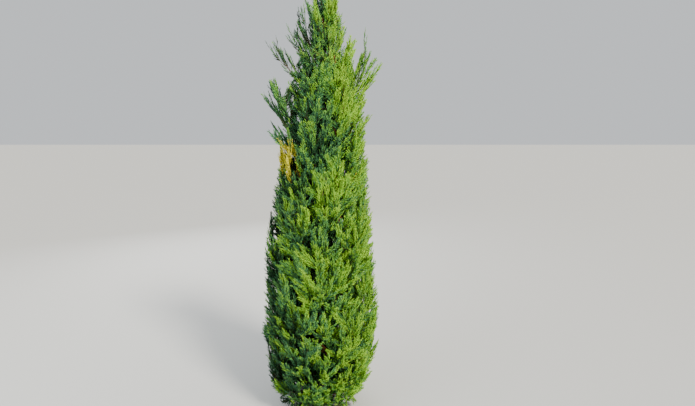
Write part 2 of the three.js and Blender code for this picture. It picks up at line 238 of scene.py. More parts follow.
leader_foot, leader_tip = trunk_centre([TRUNK_TOP, TREE_HEIGHT])
leader_traits = (1.0, LEADER_FREEDOM, 1.0, TRUNK_TOP_RADIUS, 0.0)
limbs = [grow_limb(index) for index in range(LIMB_COUNT)]
limbs += [limb_row(leader_foot, (leader_foot + leader_tip) / 2, leader_tip, level_way(0.0), *leader_traits)]
for *course, freedom in SLENDER_STRAYS:
    limbs += [grow_outward(*course, 1.0, freedom, SLENDER_STRAY, LIMB_RADII[1], UPPER_BARE_SHARE)]
limb_foot, limb_knee, limb_tip, limb_sideways, traits = np.split(np.array(limbs), (3, 6, 9, 12), axis=1)
limb_up, limb_freedom, limb_slimness, limb_root_radius, limb_bare = traits.T
print("limbs:", len(limbs), "of which", (limb_freedom > 1).sum(), "may leave the crown")

# %% Follow the limbs as curves
LENGTH_STEPS = 200


def limb_point(limb, share):
    """Points on limbs, at these shares of their curves."""
    share = np.asarray(share, float)[..., None]
    bend = 2 * share * (1 - share) * limb_knee[limb]
    return (1 - share) ** 2 * limb_foot[limb] + bend + share**2 * limb_tip[limb]


def limb_direction(limb, share):
    """The way that limbs grow, at these shares of their curves."""
    share = np.asarray(share, float)[..., None]
    rise = (1 - share) * (limb_knee[limb] - limb_foot[limb]) + share * (limb_tip[limb] - limb_knee[limb])
    return unit(rise)


every_limb = np.arange(len(limbs))
limb_courses = limb_point(every_limb[:, None], np.linspace(0, 1, LENGTH_STEPS + 1))
limb_length = np.linalg.norm(np.diff(limb_courses, axis=1), axis=-1).sum(1)
furthest_off = 0.0
for index in range(BOUGH_COUNT):
    low, high = np.array(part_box(f"bough_{index + 1:02}"))
    bough_end = limb_point(index, limb_bare[index])
    furthest_off = max(furthest_off, *(low - bough_end), *(bough_end - high))
print("limbs are from", limb_length.min().round(2), "to", limb_length.max().round(2), "m long")
print("bough ends lie within", round(furthest_off * 1000, 2), "mm of the packed boughs' boxes")

# %% [markdown]
# ## The trunk
# The bark of a young tree is thin, red brown and finely furrowed along the trunk, with a swelling under
# each limb and a flare with soft lobes where the roots begin. A displacement modifier could raise the
# furrows from a texture. Moving the rings of a finely divided cylinder in code gives the same relief as
# real mesh, and keeps the cut at the ground flat.

# %% Make the tools for wood
RIDGE_SHARE = 0.75
FLAKE_FINENESS = 2.7


def column(model, sides, rings):
    """Adds a unit cylinder that stands on its foot, with its walls cut into this many rings."""
    already = set(model.verts)
    made = bmesh.ops.create_cone(
        model, cap_ends=True, segments=sides, radius1=1, radius2=1, depth=1,
        matrix=Matrix.Translation((0, 0, 0.5)),
    )
    low = [v for v in made["verts"] if v.co.z < 0.5]
    upright = [e for v in low for e in v.link_edges if e.other_vert(v).co.z > 0.5]
    if rings > 1:
        bmesh.ops.subdivide_edges(model, edges=upright, cuts=rings - 1, use_grid_fill=True)
    return [v for v in model.verts if v not in already]


def furrow(place, width, stretch):
    """Bark relief from about -1 to 1 at a place on upright bark: long narrow ridges, broken by flakes."""
    stretched = Vector((place.x / width, place.y / width, place.z / (width * stretch)))
    ridges = 1 - 2 * abs(noise.noise(stretched))
    return RIDGE_SHARE * ridges + (1 - RIDGE_SHARE) * noise.noise(stretched * FLAKE_FINENESS)


def add_piece(name, mesh):
    """Puts a mesh in the scene as a piece that rides on the tree."""
    piece = bpy.data.objects.new(name, mesh)
    bpy.context.scene.collection.objects.link(piece)
    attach(piece, "root")
    return piece


def finished(model, name):
    """Closes off a bmesh as a smooth shaded piece of the tree."""
    bmesh.ops.recalc_face_normals(model, faces=model.faces)
    mesh = bpy.data.meshes.new(name)
    model.to_mesh(mesh)
    model.free()
    mesh.shade_smooth()
    return add_piece(name, mesh)


print("ridges make up", RIDGE_SHARE, "of the bark's relief")

# %% Model the trunk
TRUNK_SIDES = 44
TRUNK_RINGS = 190
RING_CROWDING = 1.25
FLARE_RADIUS = 0.015
FLARE_HEIGHT = 0.038
FLARE_LOBES = 5
FLARE_LOBE_DEPTH = 0.16
FURROW_DEPTH_SHARE = 0.085
FURROW_WIDTH = 0.0065
FURROW_STRETCH = 9.0
COLLAR_HEIGHT_SHARE = 0.55
COLLAR_SPREAD = 2.0

collar_radius = limb_root_radius[:LEADER]
collar_reach = lerp(TRUNK_FOOT_RADIUS, TRUNK_TOP_RADIUS, limb_foot[:LEADER, 2] / TRUNK_TOP)
collar_centre = limb_foot[:LEADER] + limb_direction(every_limb[:LEADER], 0) * collar_reach[:, None]


def swelling(place):
    """How far the bark stands out for the limbs that leave it near this place."""
    across = np.linalg.norm(collar_centre - place, axis=1)
    collar = np.exp(-((across / (COLLAR_SPREAD * collar_radius)) ** 2))
    return (COLLAR_HEIGHT_SHARE * collar_radius * collar).max()


trunk_model = bmesh.new()
for vertex in column(trunk_model, TRUNK_SIDES, TRUNK_RINGS):
    height = TRUNK_TOP * vertex.co.z**RING_CROWDING
    fade = math.exp(-height / FLARE_HEIGHT)
    angle = math.atan2(vertex.co.y, vertex.co.x)
    outward = Vector((math.cos(angle), math.sin(angle), 0))
    lobe = 1 + FLARE_LOBE_DEPTH * math.cos(FLARE_LOBES * angle) * fade
    radius = lerp(TRUNK_FOOT_RADIUS, TRUNK_TOP_RADIUS, height / TRUNK_TOP) + FLARE_RADIUS * fade
    relief = furrow(outward * radius + Vector((0, 0, height)), FURROW_WIDTH, FURROW_STRETCH)
    radius *= lobe * (1 + FURROW_DEPTH_SHARE * relief)
    place = Vector(trunk_centre(height)) + outward * radius
    vertex.co = place + outward * swelling(np.array(place))
trunk = finished(trunk_model, "trunk_bark")
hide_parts("trunk")
print("trunk:", len(trunk.data.polygons), "faces, foot", round(trunk.dimensions.x, 3), "m across")

# %% [markdown]
# ## The boughs
# Each bough is one tapering limb. It leaves the trunk from a small collar and its bark is smoother than the
# trunk's. A curve with a bevel would do, but a bent cylinder ends closed and takes relief as well. The
# packed boughs stop where their foliage starts. Here the wood runs on to the tip, because the leaves let it
# show.

# %% Model the boughs up to their tips
BOUGH_SIDES = 9
BOUGH_RINGS = 26
BOUGH_TIP_RADIUS = 0.0013
BOUGH_COLLAR_GROWTH = 0.55
BOUGH_COLLAR_LENGTH = 0.012
BOUGH_RELIEF_SHARE = 0.08
BOUGH_RELIEF_SIZE = 0.006
BOUGH_RELIEF_STRETCH = 4.0


def bend_along(vertices, limb):
    """Bends upright unit columns so that they follow a limb from its foot to its tip."""
    for vertex in vertices:
        share = min(max(vertex.co.z, 0.0), 1.0)
        under = np.cross(limb_sideways[limb], limb_direction(limb, share))
        distance = share * limb_length[limb]
        radius = lerp(limb_root_radius[limb], BOUGH_TIP_RADIUS, share)
        radius *= 1 + BOUGH_COLLAR_GROWTH * math.exp(-distance / BOUGH_COLLAR_LENGTH)
        on_bark = Vector((vertex.co.x * radius, vertex.co.y * radius, distance + limb))
        radius *= 1 + BOUGH_RELIEF_SHARE * furrow(on_bark, BOUGH_RELIEF_SIZE, BOUGH_RELIEF_STRETCH)
        off_centre = (limb_sideways[limb] * vertex.co.x + under * vertex.co.y) * radius
        vertex.co = Vector(limb_point(limb, share) + off_centre)


bough_model = bmesh.new()
for limb in every_limb:
    bend_along(column(bough_model, BOUGH_SIDES, BOUGH_RINGS), limb)
boughs = finished(bough_model, "boughs")
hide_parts(*[f"bough_{index + 1:02}" for index in range(BOUGH_COUNT)])
print("boughs:", len(boughs.data.polygons), "faces")

# %% [markdown]
# ## One shoot of scale leaves
# The leaves are green scales that clasp the finest twigs, so what the eye sees as one leaf is a flat green
# shoot a few centimetres long. A flat card would vanish when seen edge on. A three sided cone has only
# four faces, and drawn back at one corner of its base it becomes a slim closed blade with a ridge along
# the top.

# %% Model the shoot and read it as arrays
SHOULDER_SHARE = 0.36
RIDGE_DROP_SHARE = 0.26


def read_arrays(model):
    """The corners and the faces of a bmesh as arrays, with all faces turned outward."""
    bmesh.ops.recalc_face_normals(model, faces=model.faces)
    model.verts.index_update()
    corners = np.array([v.co[:] for v in model.verts])
    faces = np.array([[v.index for v in f.verts] for f in model.faces])
    model.free()
    return corners, faces


shoot_model = bmesh.new()
bmesh.ops.create_cone(shoot_model, cap_ends=True, segments=3, radius1=0.5, radius2=0, depth=1)
*base, tip = sorted(shoot_model.verts, key=lambda v: v.co.z)
left, root, right = sorted(base, key=lambda v: v.co.x)
root.co = (0, 0, 0)
tip.co = (0, 1, 0)
left.co = (-0.5, SHOULDER_SHARE, -RIDGE_DROP_SHARE)
right.co = (0.5, SHOULDER_SHARE, -RIDGE_DROP_SHARE)
SHOOT_CORNERS, SHOOT_FACES = read_arrays(shoot_model)
print("one shoot:", len(SHOOT_CORNERS), "corners and", len(SHOOT_FACES), "faces")

# %% [markdown]
# ## Plume patterns
# Shoots stand in two ranks along a twig and branch once more, which makes a feather, or plume, with a
# pointed tip. Growing every plume on its own would be slow. A few plumes of set lengths, each in three
# versions, are grown once here and then copied, scaled and bent by arrays, so that no two look alike on the
# tree. A side shoot and its twiglets are one strand, and keep the strand's number, because they share a
# colour later.

# %% Grow one side shoot of a plume
SIDE_WIDTH = 0.0044
TWIGLET_WIDTH = 0.0050
TWIGLET_STEP = 0.0138
TWIGLET_START_SPREAD = (0.6, 1.1)
TWIGLETS_END_SHARE = 0.93
TWIGLET_ANGLE_DEG = 9
TWIGLET_LONGEST = 0.048
TWIGLET_LEAST = 0.010
TWIGLET_SHARE = 0.8
TWIGLET_SPREAD = (0.8, 1.15)
TWIGLET_LIFT = 0.14
STEP_SPREAD = (0.8, 1.2)
ANGLE_SPREAD_DEG = 4
FACING_SPREAD = 0.35


def shoot_row(random, base, direction, length, width, strand):
    """The row of one shoot of a plume that faces up, turned a little off the plume's facing."""
    facing = unit(UP + random.normal(0, FACING_SPREAD, 3))
    facing = unit(facing - direction * (facing @ direction))
    return [*base, *direction, *facing, length, width, strand]


def side_rows(random, base, direction, reach, side, strand):
    """The rows of one side shoot and of the twiglets that leave it to both sides."""
    rows = [shoot_row(random, base, direction, reach, SIDE_WIDTH, strand)]
    out = TWIGLET_STEP * random.uniform(*TWIGLET_START_SPREAD)
    while out < reach * TWIGLETS_END_SHARE:
        usual_length = min(TWIGLET_LONGEST, TWIGLET_LEAST + TWIGLET_SHARE * (reach - out))
        length = usual_length * random.uniform(*TWIGLET_SPREAD)
        turn = -side * math.radians(TWIGLET_ANGLE_DEG + random.normal(0, ANGLE_SPREAD_DEG))
        heading = direction * math.cos(turn) + np.cross(UP, direction) * math.sin(turn)
        heading = unit(heading + UP * random.normal(0, TWIGLET_LIFT))
        rows.append(shoot_row(random, base + direction * out, heading, length, TWIGLET_WIDTH, strand))
        side = -side
        out += TWIGLET_STEP * random.uniform(*STEP_SPREAD)
    return rows


print("twiglets are up to", TWIGLET_LONGEST * TWIGLET_SPREAD[1], "m long")

# %% Grow the plume patterns
PLUME_LENGTHS = (0.055, 0.075, 0.10, 0.135, 0.18)
PLUME_VERSIONS = 3
PLUME_SEED = 11
SIDE_STEP = 0.0063
SIDE_ANGLE_DEG = (16, 6)
SIDE_BARE_SHARE = 0.10
SIDE_FULL_SHARE = 0.24
SIDES_END_SHARE = 0.96
SIDE_SWELL_FOOT = 0.35
SIDE_REACH_SHARE = 0.52
SIDE_REACH_SPREAD = (0.72, 1.12)
SIDE_TAPER = 0.75
SHORTEST_SIDE = 0.010
OUT_OF_PLANE_DEG = 24
END_SHOOT_SHARE = 0.1
LENGTH_COLUMN, WIDTH_COLUMN, STRAND_COLUMN = 9, 10, 11


def side_reach(length, share):
    """How long a plume's side shoot is at this share of the plume, before chance has its say."""
    swell = min(1.0, (share - SIDE_BARE_SHARE) / (SIDE_FULL_SHARE - SIDE_BARE_SHARE) + SIDE_SWELL_FOOT)
    return length * SIDE_REACH_SHARE * swell * (1 - share) ** SIDE_TAPER


def grow_plume(length, seed):
    """All shoots of a plume along +Y, as rows of base, direction, facing, length, width and strand."""
    random = np.random.default_rng(seed)
    rows = []
    along, side, strand = length * SIDE_BARE_SHARE, 1, 0
    while along < length * SIDES_END_SHARE:
        share = along / length
        reach = max(SHORTEST_SIDE, side_reach(length, share) * random.uniform(*SIDE_REACH_SPREAD))
        angle = math.radians(lerp(*SIDE_ANGLE_DEG, share) + random.normal(0, ANGLE_SPREAD_DEG))
        tilt = math.radians(random.normal(0, OUT_OF_PLANE_DEG))
        out, ahead = math.sin(angle), math.cos(angle)
        direction = np.array([side * out * math.cos(tilt), ahead, out * math.sin(tilt)])
        rows += side_rows(random, np.array([0.0, along, 0.0]), direction, reach, side, strand)
        along += SIDE_STEP * random.uniform(*STEP_SPREAD)
        side, strand = -side, strand + 1
    end_base, end_length = (0.0, length * (1 - END_SHOOT_SHARE), 0.0), length * END_SHOOT_SHARE
    rows.append(shoot_row(random, end_base, np.array([0.0, 1.0, 0.0]), end_length, SIDE_WIDTH, strand))
    return np.array(rows)


plume_patterns = [
    [grow_plume(length, (PLUME_SEED, size, version)) for version in range(PLUME_VERSIONS)]
    for size, length in enumerate(PLUME_LENGTHS)
]
for length, versions in zip(PLUME_LENGTHS, plume_patterns):
    print("plume of", length, "m:", [len(rows) for rows in versions], "shoots")

# %% [markdown]
# ## Branchlets along the limbs
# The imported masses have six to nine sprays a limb, set out by two steady sequences, one along the limb and
# one round it. Here each of those sprays becomes a branchlet, and the same sequences carry on to a few
# more. They could be scattered at random, but then they would crowd here and leave a gap there. One more
# carries each limb on at its tip.

# %% Set out the branchlets
SOURCE_SPRAYS = (8, 6)
LEADER_SPRAYS = 6
BRANCHLETS_PER_SPRAY = 1.7
SEQUENCE_START = 0.5
TWIG_STEP = 0.754878
TWIG_PLACES = (0.06, 0.96)
TWIG_LENGTHS = (0.30, 0.20)
TWIG_FOOT_SHARE = 1.1
TWIG_TIP_SHARE = 0.75
TWIG_LENGTH_SPREAD = 0.15
TWIG_ANGLE_DEG = (48, 26)
TWIG_ANGLE_SPREAD_DEG = 14
TIP_TWIG_LEAFY_SHARE = 0.8

sprays = np.round(lerp(*SOURCE_SPRAYS, limb_up))
sprays[LEADER] = LEADER_SPRAYS
twig_counts = np.round(sprays * BRANCHLETS_PER_SPRAY * limb_slimness).astype(int)
twig_limb = np.repeat(every_limb, twig_counts + 1)
twig_number = np.concatenate([np.arange(count + 1) for count in twig_counts])
at_tip = twig_number == twig_counts[twig_limb]

place = (SEQUENCE_START + twig_number * TWIG_STEP) % 1
leafy = 1 - limb_bare[twig_limb]
longest = lerp(*TWIG_LENGTHS, limb_up[twig_limb])
vigour = 1 + either_way(TWIG_LENGTH_SPREAD, twig_limb, twig_number, BY_LENGTH)
twig_length = longest * limb_slimness[twig_limb] * lerp(TWIG_FOOT_SHARE, TWIG_TIP_SHARE, place) * vigour
tip_length = np.minimum(longest * TWIG_TIP_SHARE, leafy * limb_length[twig_limb] * TIP_TWIG_LEAFY_SHARE)
twig_length = np.where(at_tip, tip_length, twig_length)
twig_share = limb_bare[twig_limb] + leafy * lerp(*TWIG_PLACES, place)
twig_share = np.where(at_tip, 1 - tip_length / limb_length[twig_limb], twig_share)
usual_angle = lerp(*TWIG_ANGLE_DEG, limb_up[twig_limb])
twig_angle = np.radians(usual_angle + either_way(TWIG_ANGLE_SPREAD_DEG, twig_limb, twig_number, BY_ANGLE))
twig_angle = np.where(at_tip, 0.0, twig_angle)
print("set out:", len(twig_limb), "branchlets on the limbs")

# %% Turn them round their limbs, up and outward
TWIG_TURN = 0.56984
TWIG_TURN_SPREAD = 0.06
TWIG_ROLL_SPREAD_DEG = 35
TWIG_PULL = 0.50
UPSWEEP_SPREAD = (0.75, 0.36)
NARROWEST_CROWN = 0.05
NUDGE = 1e-6


def upsweep(points):
    """The way that foliage turns as it grows: outward and up, and steeper towards the top of the tree."""
    away = off_trunk(points)
    outward = away / np.maximum(np.linalg.norm(away, axis=1, keepdims=True), NARROWEST_CROWN)
    return unit(outward * lerp(*UPSWEEP_SPREAD, points[:, 2:] / TREE_HEIGHT) + UP)


def faced(rib, outward, roll_deg):
    """The across, rib and facing axes of ribs that look outward, rolled about the rib by these angles."""
    facing = unit(outward - rib * (outward * rib).sum(1, keepdims=True))
    roll = np.radians(roll_deg)[:, None]
    facing = facing * np.cos(roll) + np.cross(rib, facing) * np.sin(roll)
    return np.cross(rib, facing), rib, facing


def twig_frames(some, angle):
    """The root and the three axes of some branchlets when they leave their limbs at these angles."""
    limb, number = twig_limb[some], twig_number[some]
    root = limb_point(limb, twig_share[some])
    stem = limb_direction(limb, twig_share[some])
    upper = np.cross(stem, limb_sideways[limb])
    aside = either_way(TWIG_TURN_SPREAD, limb, number, BY_TURN)
    turn = SEQUENCE_START + number * TWIG_TURN + aside
    around = 2 * np.pi * turn[:, None]
    lean, reach = np.cos(angle)[:, None], np.sin(angle)[:, None]
    rib = stem * lean + (limb_sideways[limb] * np.cos(around) + upper * np.sin(around)) * reach
    rib = unit(rib + upsweep(root) * TWIG_PULL)
    roll = either_way(TWIG_ROLL_SPREAD_DEG, limb, number, BY_ROLL)
    return root, *faced(rib, off_trunk(root) + UP * NUDGE, roll)


first_rib = twig_frames(every_limb[:1], twig_angle[:1])[2][0]
print("the first branchlet would grow along", first_rib.round(2))

# %% [markdown]
# ## Room for every branchlet
# On a real tree the foliage of one limb keeps clear of the next, because both grow towards the light.
# Meshes could be tested for overlap once they are made, but that is slow. Here a branchlet has to stay
# inside the crown, off the ground and nearer to its own limb than to its neighbours. One that doesn't is
# shortened and folded in until it fits, or left out.

# %% Ask whether points are in a limb's own space
LIMB_CLEARANCE = 0.006
TRUNK_CLEARANCE = 0.022
GROUND_CLEARANCE = 0.006
SLACK_HEIGHTS = (0.0, 1.75, 1.97, 2.05, 2.16)
CROWN_SLACK = (1.05, 1.04, 0.80, 0.92, 1.15)
LINE_SAMPLES = 10
POINTS_AT_ONCE = 3000

limb_lines = limb_point(every_limb[:, None], np.linspace(0, 1, LINE_SAMPLES + 1))
trunk_line = trunk_centre(np.linspace(0, TRUNK_TOP, LINE_SAMPLES + 1))
wood_lines = np.concatenate([limb_lines, trunk_line[None]])


def distances_to_wood(points):
    """How far each point is from each limb's line and, in the last column, from the trunk's."""
    start, step = wood_lines[:, :-1], np.diff(wood_lines, axis=1)
    away = points[:, None, None, :] - start
    share = np.clip((away * step).sum(-1) / (step**2).sum(-1), 0, 1)
    return np.linalg.norm(away - share[..., None] * step, axis=-1).min(-1)


def nearest_limb(points):
    """The limb whose line is closest to each point."""
    return distances_to_wood(points)[:, :-1].argmin(1)


def in_space(limb, points, overlap):
    """Whether points are in the crown, off the ground and nearest to their own limbs, but for an overlap."""
    out = np.hypot(*off_trunk(points)[:, :2].T)
    slack = np.interp(points[:, 2], SLACK_HEIGHTS, CROWN_SLACK)
    inside = out <= crown_radius(points[:, 2]) * slack * limb_freedom[limb]
    inside &= (points[:, 2] >= GROUND_CLEARANCE) & (points[:, 2] <= TREE_HEIGHT)
    for first in range(0, len(points), POINTS_AT_ONCE):
        some = slice(first, first + POINTS_AT_ONCE)
        away = distances_to_wood(points[some])
        rows = np.arange(len(away))
        own = away[rows, limb[some]]
        away[rows, limb[some]] = np.inf
        others = away[:, :-1].min(1)
        inside[some] &= (others > LIMB_CLEARANCE) & (others > own - overlap)
        inside[some] &= away[:, -1] > TRUNK_CLEARANCE
    return inside


print("wood to keep clear of:", len(wood_lines), "lines")

# %% Fit the branchlets on the limbs
BRANCHLET_OVERLAP = 0.08
SHORTEST_TWIG = 0.05
TWIG_SHRINK = 0.87
TWIG_FOLD = 0.93
TWIG_TRIES = 10
HALF_WIDTH_SHARE = 0.2
SWEEP_SHARE = 0.13
# sidesteps in half widths, and shares of the length
TEST_PLACES = ((0, 1.0), (-0.9, 0.5), (0.9, 0.5))

Twigs = namedtuple("Twigs", "limb number length root across rib facing")


def joined(*groups):
    """Several groups of twigs as one."""
    return Twigs(*[np.concatenate(parts) for parts in zip(*groups)])


def swept(root, rib, share, length):
    """Points along twigs that sweep up more and more towards their tips."""
    return root + rib * share * length + UP * SWEEP_SHARE * share**2 * length


def fit(limb, number, frames_at, angle, length, overlap):
    """Shortens and folds twigs until they find room, and gives which of them do, and those as Twigs."""
    angle, length = angle.copy(), length.copy()
    fits = np.zeros(len(limb), bool)
    for attempt in range(TWIG_TRIES):
        left = np.flatnonzero(~fits & (length >= SHORTEST_TWIG))
        root, across, rib, facing = frames_at(left, angle[left])
        reach = length[left][:, None]
        good = np.ones(len(left), bool)
        for sidestep, along in TEST_PLACES:
            point = swept(root, rib, along, reach) + across * sidestep * HALF_WIDTH_SHARE * reach
            good &= in_space(limb[left], point, overlap)
        fits[left[good]] = True
        length[left[~good]] *= TWIG_SHRINK
        angle[left[~good]] *= TWIG_FOLD
    kept = np.flatnonzero(fits)
    return kept, Twigs(limb[kept], number[kept], length[kept], *frames_at(kept, angle[kept]))


def tell(kind, twigs):
    """Prints how many twigs there are and how long they are."""
    print(kind, len(twigs.limb), "of mean length", twigs.length.mean().round(3), "m")


limb_branchlets = fit(
    twig_limb, twig_number, twig_frames, twig_angle, twig_length, BRANCHLET_OVERLAP
)[1]
tell("branchlets that fit on the limbs:", limb_branchlets)

# %% [markdown]
# ## Branchlets on the trunk and in the spire
# Between its limbs the trunk carries short branchlets of its own, which close the crown from inside. They
# leave it askew, first to one side and then to the other. Round the leader eight more stand upright, side
# by side, and make the spire. All of them could be limbs too, but limbs need wood of their own, and these
# have none that shows.

# %% Grow branchlets on the trunk itself
TRUNK_TWIGS = 130
TRUNK_TWIG_HEIGHTS = (0.03, 1.93)
TRUNK_TWIG_CROWDING = 1.25
TRUNK_TWIG_TURN_DEG = 222.49
TRUNK_TWIG_SKEW_DEG = 50
TRUNK_TWIG_SKEW_SPREAD_DEG = 16
TRUNK_TWIG_CLIMB_DEG = (30, 74)
TRUNK_TWIG_REACH = 0.92
TRUNK_TWIG_CEILING = 2.03
TRUNK_TWIG_OVERLAP = 0.25
TRUNK_TWIG_NUMBER = 500

trunk_twig = np.arange(TRUNK_TWIGS)
trunk_twig_up = ((trunk_twig + 0.5) / TRUNK_TWIGS) ** TRUNK_TWIG_CROWDING
trunk_twig_root = trunk_centre(lerp(*TRUNK_TWIG_HEIGHTS, trunk_twig_up))
azimuth = np.radians(trunk_twig * TRUNK_TWIG_TURN_DEG)
skew = np.where(trunk_twig % 2, 1, -1) * TRUNK_TWIG_SKEW_DEG
skew = skew + either_way(TRUNK_TWIG_SKEW_SPREAD_DEG, trunk_twig, 0, BY_ANGLE)
trunk_twig_out, trunk_twig_ahead = level_way(azimuth), level_way(azimuth + np.radians(skew))
climb = np.radians(lerp(*TRUNK_TWIG_CLIMB_DEG, trunk_twig_up))
longest = crown_radius(trunk_twig_root[:, 2]) * TRUNK_TWIG_REACH / np.cos(climb)
headroom = (TRUNK_TWIG_CEILING - trunk_twig_root[:, 2]) / np.sin(climb)
longest = np.minimum(np.minimum(longest, TWIG_LENGTHS[0]), headroom)
trunk_twig_limb = nearest_limb(trunk_twig_root + trunk_twig_ahead * longest[:, None] / 2)


def trunk_twig_frames(some, climb):
    """The root and axes of branchlets that leave the trunk askew, face outward and climb at these angles."""
    rib = trunk_twig_ahead[some] * np.cos(climb)[:, None] + UP * np.sin(climb)[:, None]
    roll = either_way(TWIG_ROLL_SPREAD_DEG, trunk_twig[some], TRUNK_TWIG_NUMBER, BY_ROLL)
    return trunk_twig_root[some], *faced(rib, trunk_twig_out[some], roll)


trunk_branchlets = fit(
    trunk_twig_limb, TRUNK_TWIG_NUMBER + trunk_twig, trunk_twig_frames, climb, longest, TRUNK_TWIG_OVERLAP
)[1]
tell("branchlets that fit on the trunk:", trunk_branchlets)

# %% Stand the last shoots of the spire side by side
SPIRE_SHOOTS = 8
SPIRE_FOOT = 1.84
SPIRE_FOOT_SPREAD = 0.12
SPIRE_LEAN = 0.34
SPIRE_LEAST_LEAN = 0.7
SPIRE_LEAN_SPREAD = 0.6
SPIRE_LENGTHS = (0.24, 0.31)
SPIRE_DRIFT = np.array([-0.09, -0.02, 0.0])
SPIRE_NUMBER = 900

spire = np.arange(SPIRE_SHOOTS)
spire_out = level_way(np.radians(FIRST_AZIMUTH_DEG + spire * GOLDEN_ANGLE_DEG))
spire_root = trunk_centre(SPIRE_FOOT + SPIRE_FOOT_SPREAD * chance(LEADER, spire, BY_SPIRE_FOOT))
spire_lean = SPIRE_LEAN * (SPIRE_LEAST_LEAN + SPIRE_LEAN_SPREAD * chance(LEADER, spire, BY_SPIRE_LEAN))
spire_rib = unit(UP + SPIRE_DRIFT + spire_out * spire_lean[:, None])
spire_branchlets = Twigs(
    0 * spire + LEADER, SPIRE_NUMBER + spire, lerp(*SPIRE_LENGTHS, chance(LEADER, spire, BY_SPIRE_LENGTH)),
    spire_root, *faced(spire_rib, spire_out, 0 * spire),
)
grown = joined(limb_branchlets, trunk_branchlets, spire_branchlets)
tell("shoots of the spire:", spire_branchlets)

# %% [markdown]
# ## Closing the gaps
# Light draws new twigs into every gap, so the real crown is closed all round. The crown's side is divided
# into cells by height and by direction, and each cell that no branchlet has reached yet gets one of its
# own, from the nearest wood below it. Setting out more branchlets everywhere would close the gaps too, but
# would cost many more leaves.

# %% Divide the crown into cells
LOWEST_CELL = 0.03
HIGHEST_CELL = 2.1
LEAST_RISE_SHARE = 0.36
TARGETS_AT_ONCE = 400


def reached_cells(points, zone):
    """How many of these points stand in each cell of a zone of the crown, by row and sector."""
    away = off_trunk(points)
    row = np.floor((points[:, 2] - LOWEST_CELL) / zone["height"]).astype(int)
    sector = np.floor(np.arctan2(away[:, 1], away[:, 0]) / (2 * np.pi) * zone["sectors"]).astype(int)
    share_out = np.hypot(away[:, 0], away[:, 1]) / np.maximum(crown_radius(points[:, 2]), NARROWEST_CROWN)
    reached = np.zeros((int((HIGHEST_CELL - LOWEST_CELL) / zone["height"]), zone["sectors"]), int)
    counted = (row >= 0) & (row < len(reached)) & (share_out > zone["from"]) & (share_out < zone["to"])
    np.add.at(reached, (row[counted], sector[counted] % zone["sectors"]), 1)
    return reached


def cell_targets(row, sector, zone, choice):
    """A point inside each of these cells of the crown, and the way out from the trunk there."""
    up, aside, deep = (chance(axis, np.arange(len(row)), choice) for axis in range(3))
    height = LOWEST_CELL + (row + up) * zone["height"]
    outward = level_way(2 * np.pi * (sector + aside) / zone["sectors"])
    depth = lerp(*zone["depths"], deep) * crown_radius(height)
    return trunk_centre(height) + outward * depth[:, None], outward


def nearest_wood_below(targets, wood):
    """For each target the nearest point of wood from which a twig would climb to it."""
    roots = np.empty_like(targets)
    for first in range(0, len(targets), TARGETS_AT_ONCE):
        some = slice(first, first + TARGETS_AT_ONCE)
        gap = targets[some, None] - wood[None]
        distance = np.linalg.norm(gap, axis=-1)
        too_flat = gap[..., 2] < LEAST_RISE_SHARE * distance
        roots[some] = wood[(distance + too_flat).argmin(1)]
    return roots


def twig_points(twigs, shares, sidesteps=(0,)):
    """Points at these shares of twigs and at these sidesteps from them, flattened."""
    length = twigs.length[:, None, None, None]
    root, across, rib = (part[:, None, None] for part in (twigs.root, twigs.across, twigs.rib))
    along = np.asarray(shares)[None, :, None, None]
    beside = across * np.asarray(sidesteps)[None, None, :, None] * length
    return (swept(root, rib, along, length) + beside).reshape(-1, 3)


print("the cells reach from", LOWEST_CELL, "to", HIGHEST_CELL, "m")

# %% Grow branchlets into the cells that are still open
FILL_ZONE = {"height": 0.042, "sectors": 36, "from": 0.42, "to": math.inf, "depths": (0.62, 0.92)}
FILL_SHARES = (0.4, 0.6, 0.8, 0.95)
FILL_SIDESTEPS = (-0.16, 0, 0.16)
SHORTEST_FILL = 0.08
LONGEST_FILL = 0.26
FILL_NUMBER = 700
LIMB_WOOD_SHARES = np.linspace(0.1, 0.9, 17)
TRUNK_WOOD_HEIGHTS = np.linspace(0.02, TRUNK_TOP, 60)
GROWN_WOOD_SHARES = (0.25, 0.5)

reached = reached_cells(twig_points(grown, FILL_SHARES, FILL_SIDESTEPS), FILL_ZONE)
target, outward = cell_targets(*np.nonzero(reached == 0), FILL_ZONE, BY_FILL_PLACE)
wood_points = np.concatenate([
    limb_point(every_limb[:, None], LIMB_WOOD_SHARES).reshape(-1, 3),
    trunk_centre(TRUNK_WOOD_HEIGHTS),
    twig_points(grown, GROWN_WOOD_SHARES),
])
root = nearest_wood_below(target, wood_points)
length = np.linalg.norm(target - root, axis=1)
rib = unit(target - root - UP * SWEEP_SHARE * length[:, None])
usable = np.flatnonzero((length > SHORTEST_FILL / 2) & (length < LONGEST_FILL))
roll = either_way(TWIG_ROLL_SPREAD_DEG, usable, FILL_NUMBER, BY_ROLL)
fill_branchlets = Twigs(
    nearest_limb(target[usable]), FILL_NUMBER + usable, np.maximum(length[usable], SHORTEST_FILL),
    root[usable], *faced(rib[usable], outward[usable], roll),
)
branchlets = joined(grown, fill_branchlets)
print("open cells:", (reached == 0).sum(), "of", reached.size)
tell("branchlets grown into them:", fill_branchlets)

# %% [markdown]
# ## Plumes along the branchlets
# A branchlet carries its plumes in two ranks, left and right, and ends in one more. They get shorter and
# close in towards its tip, so that the whole branchlet is one pointed feather. Instances on the faces of a
# mesh could carry them, but arrays can test each plume for room, as they did with the branchlets.

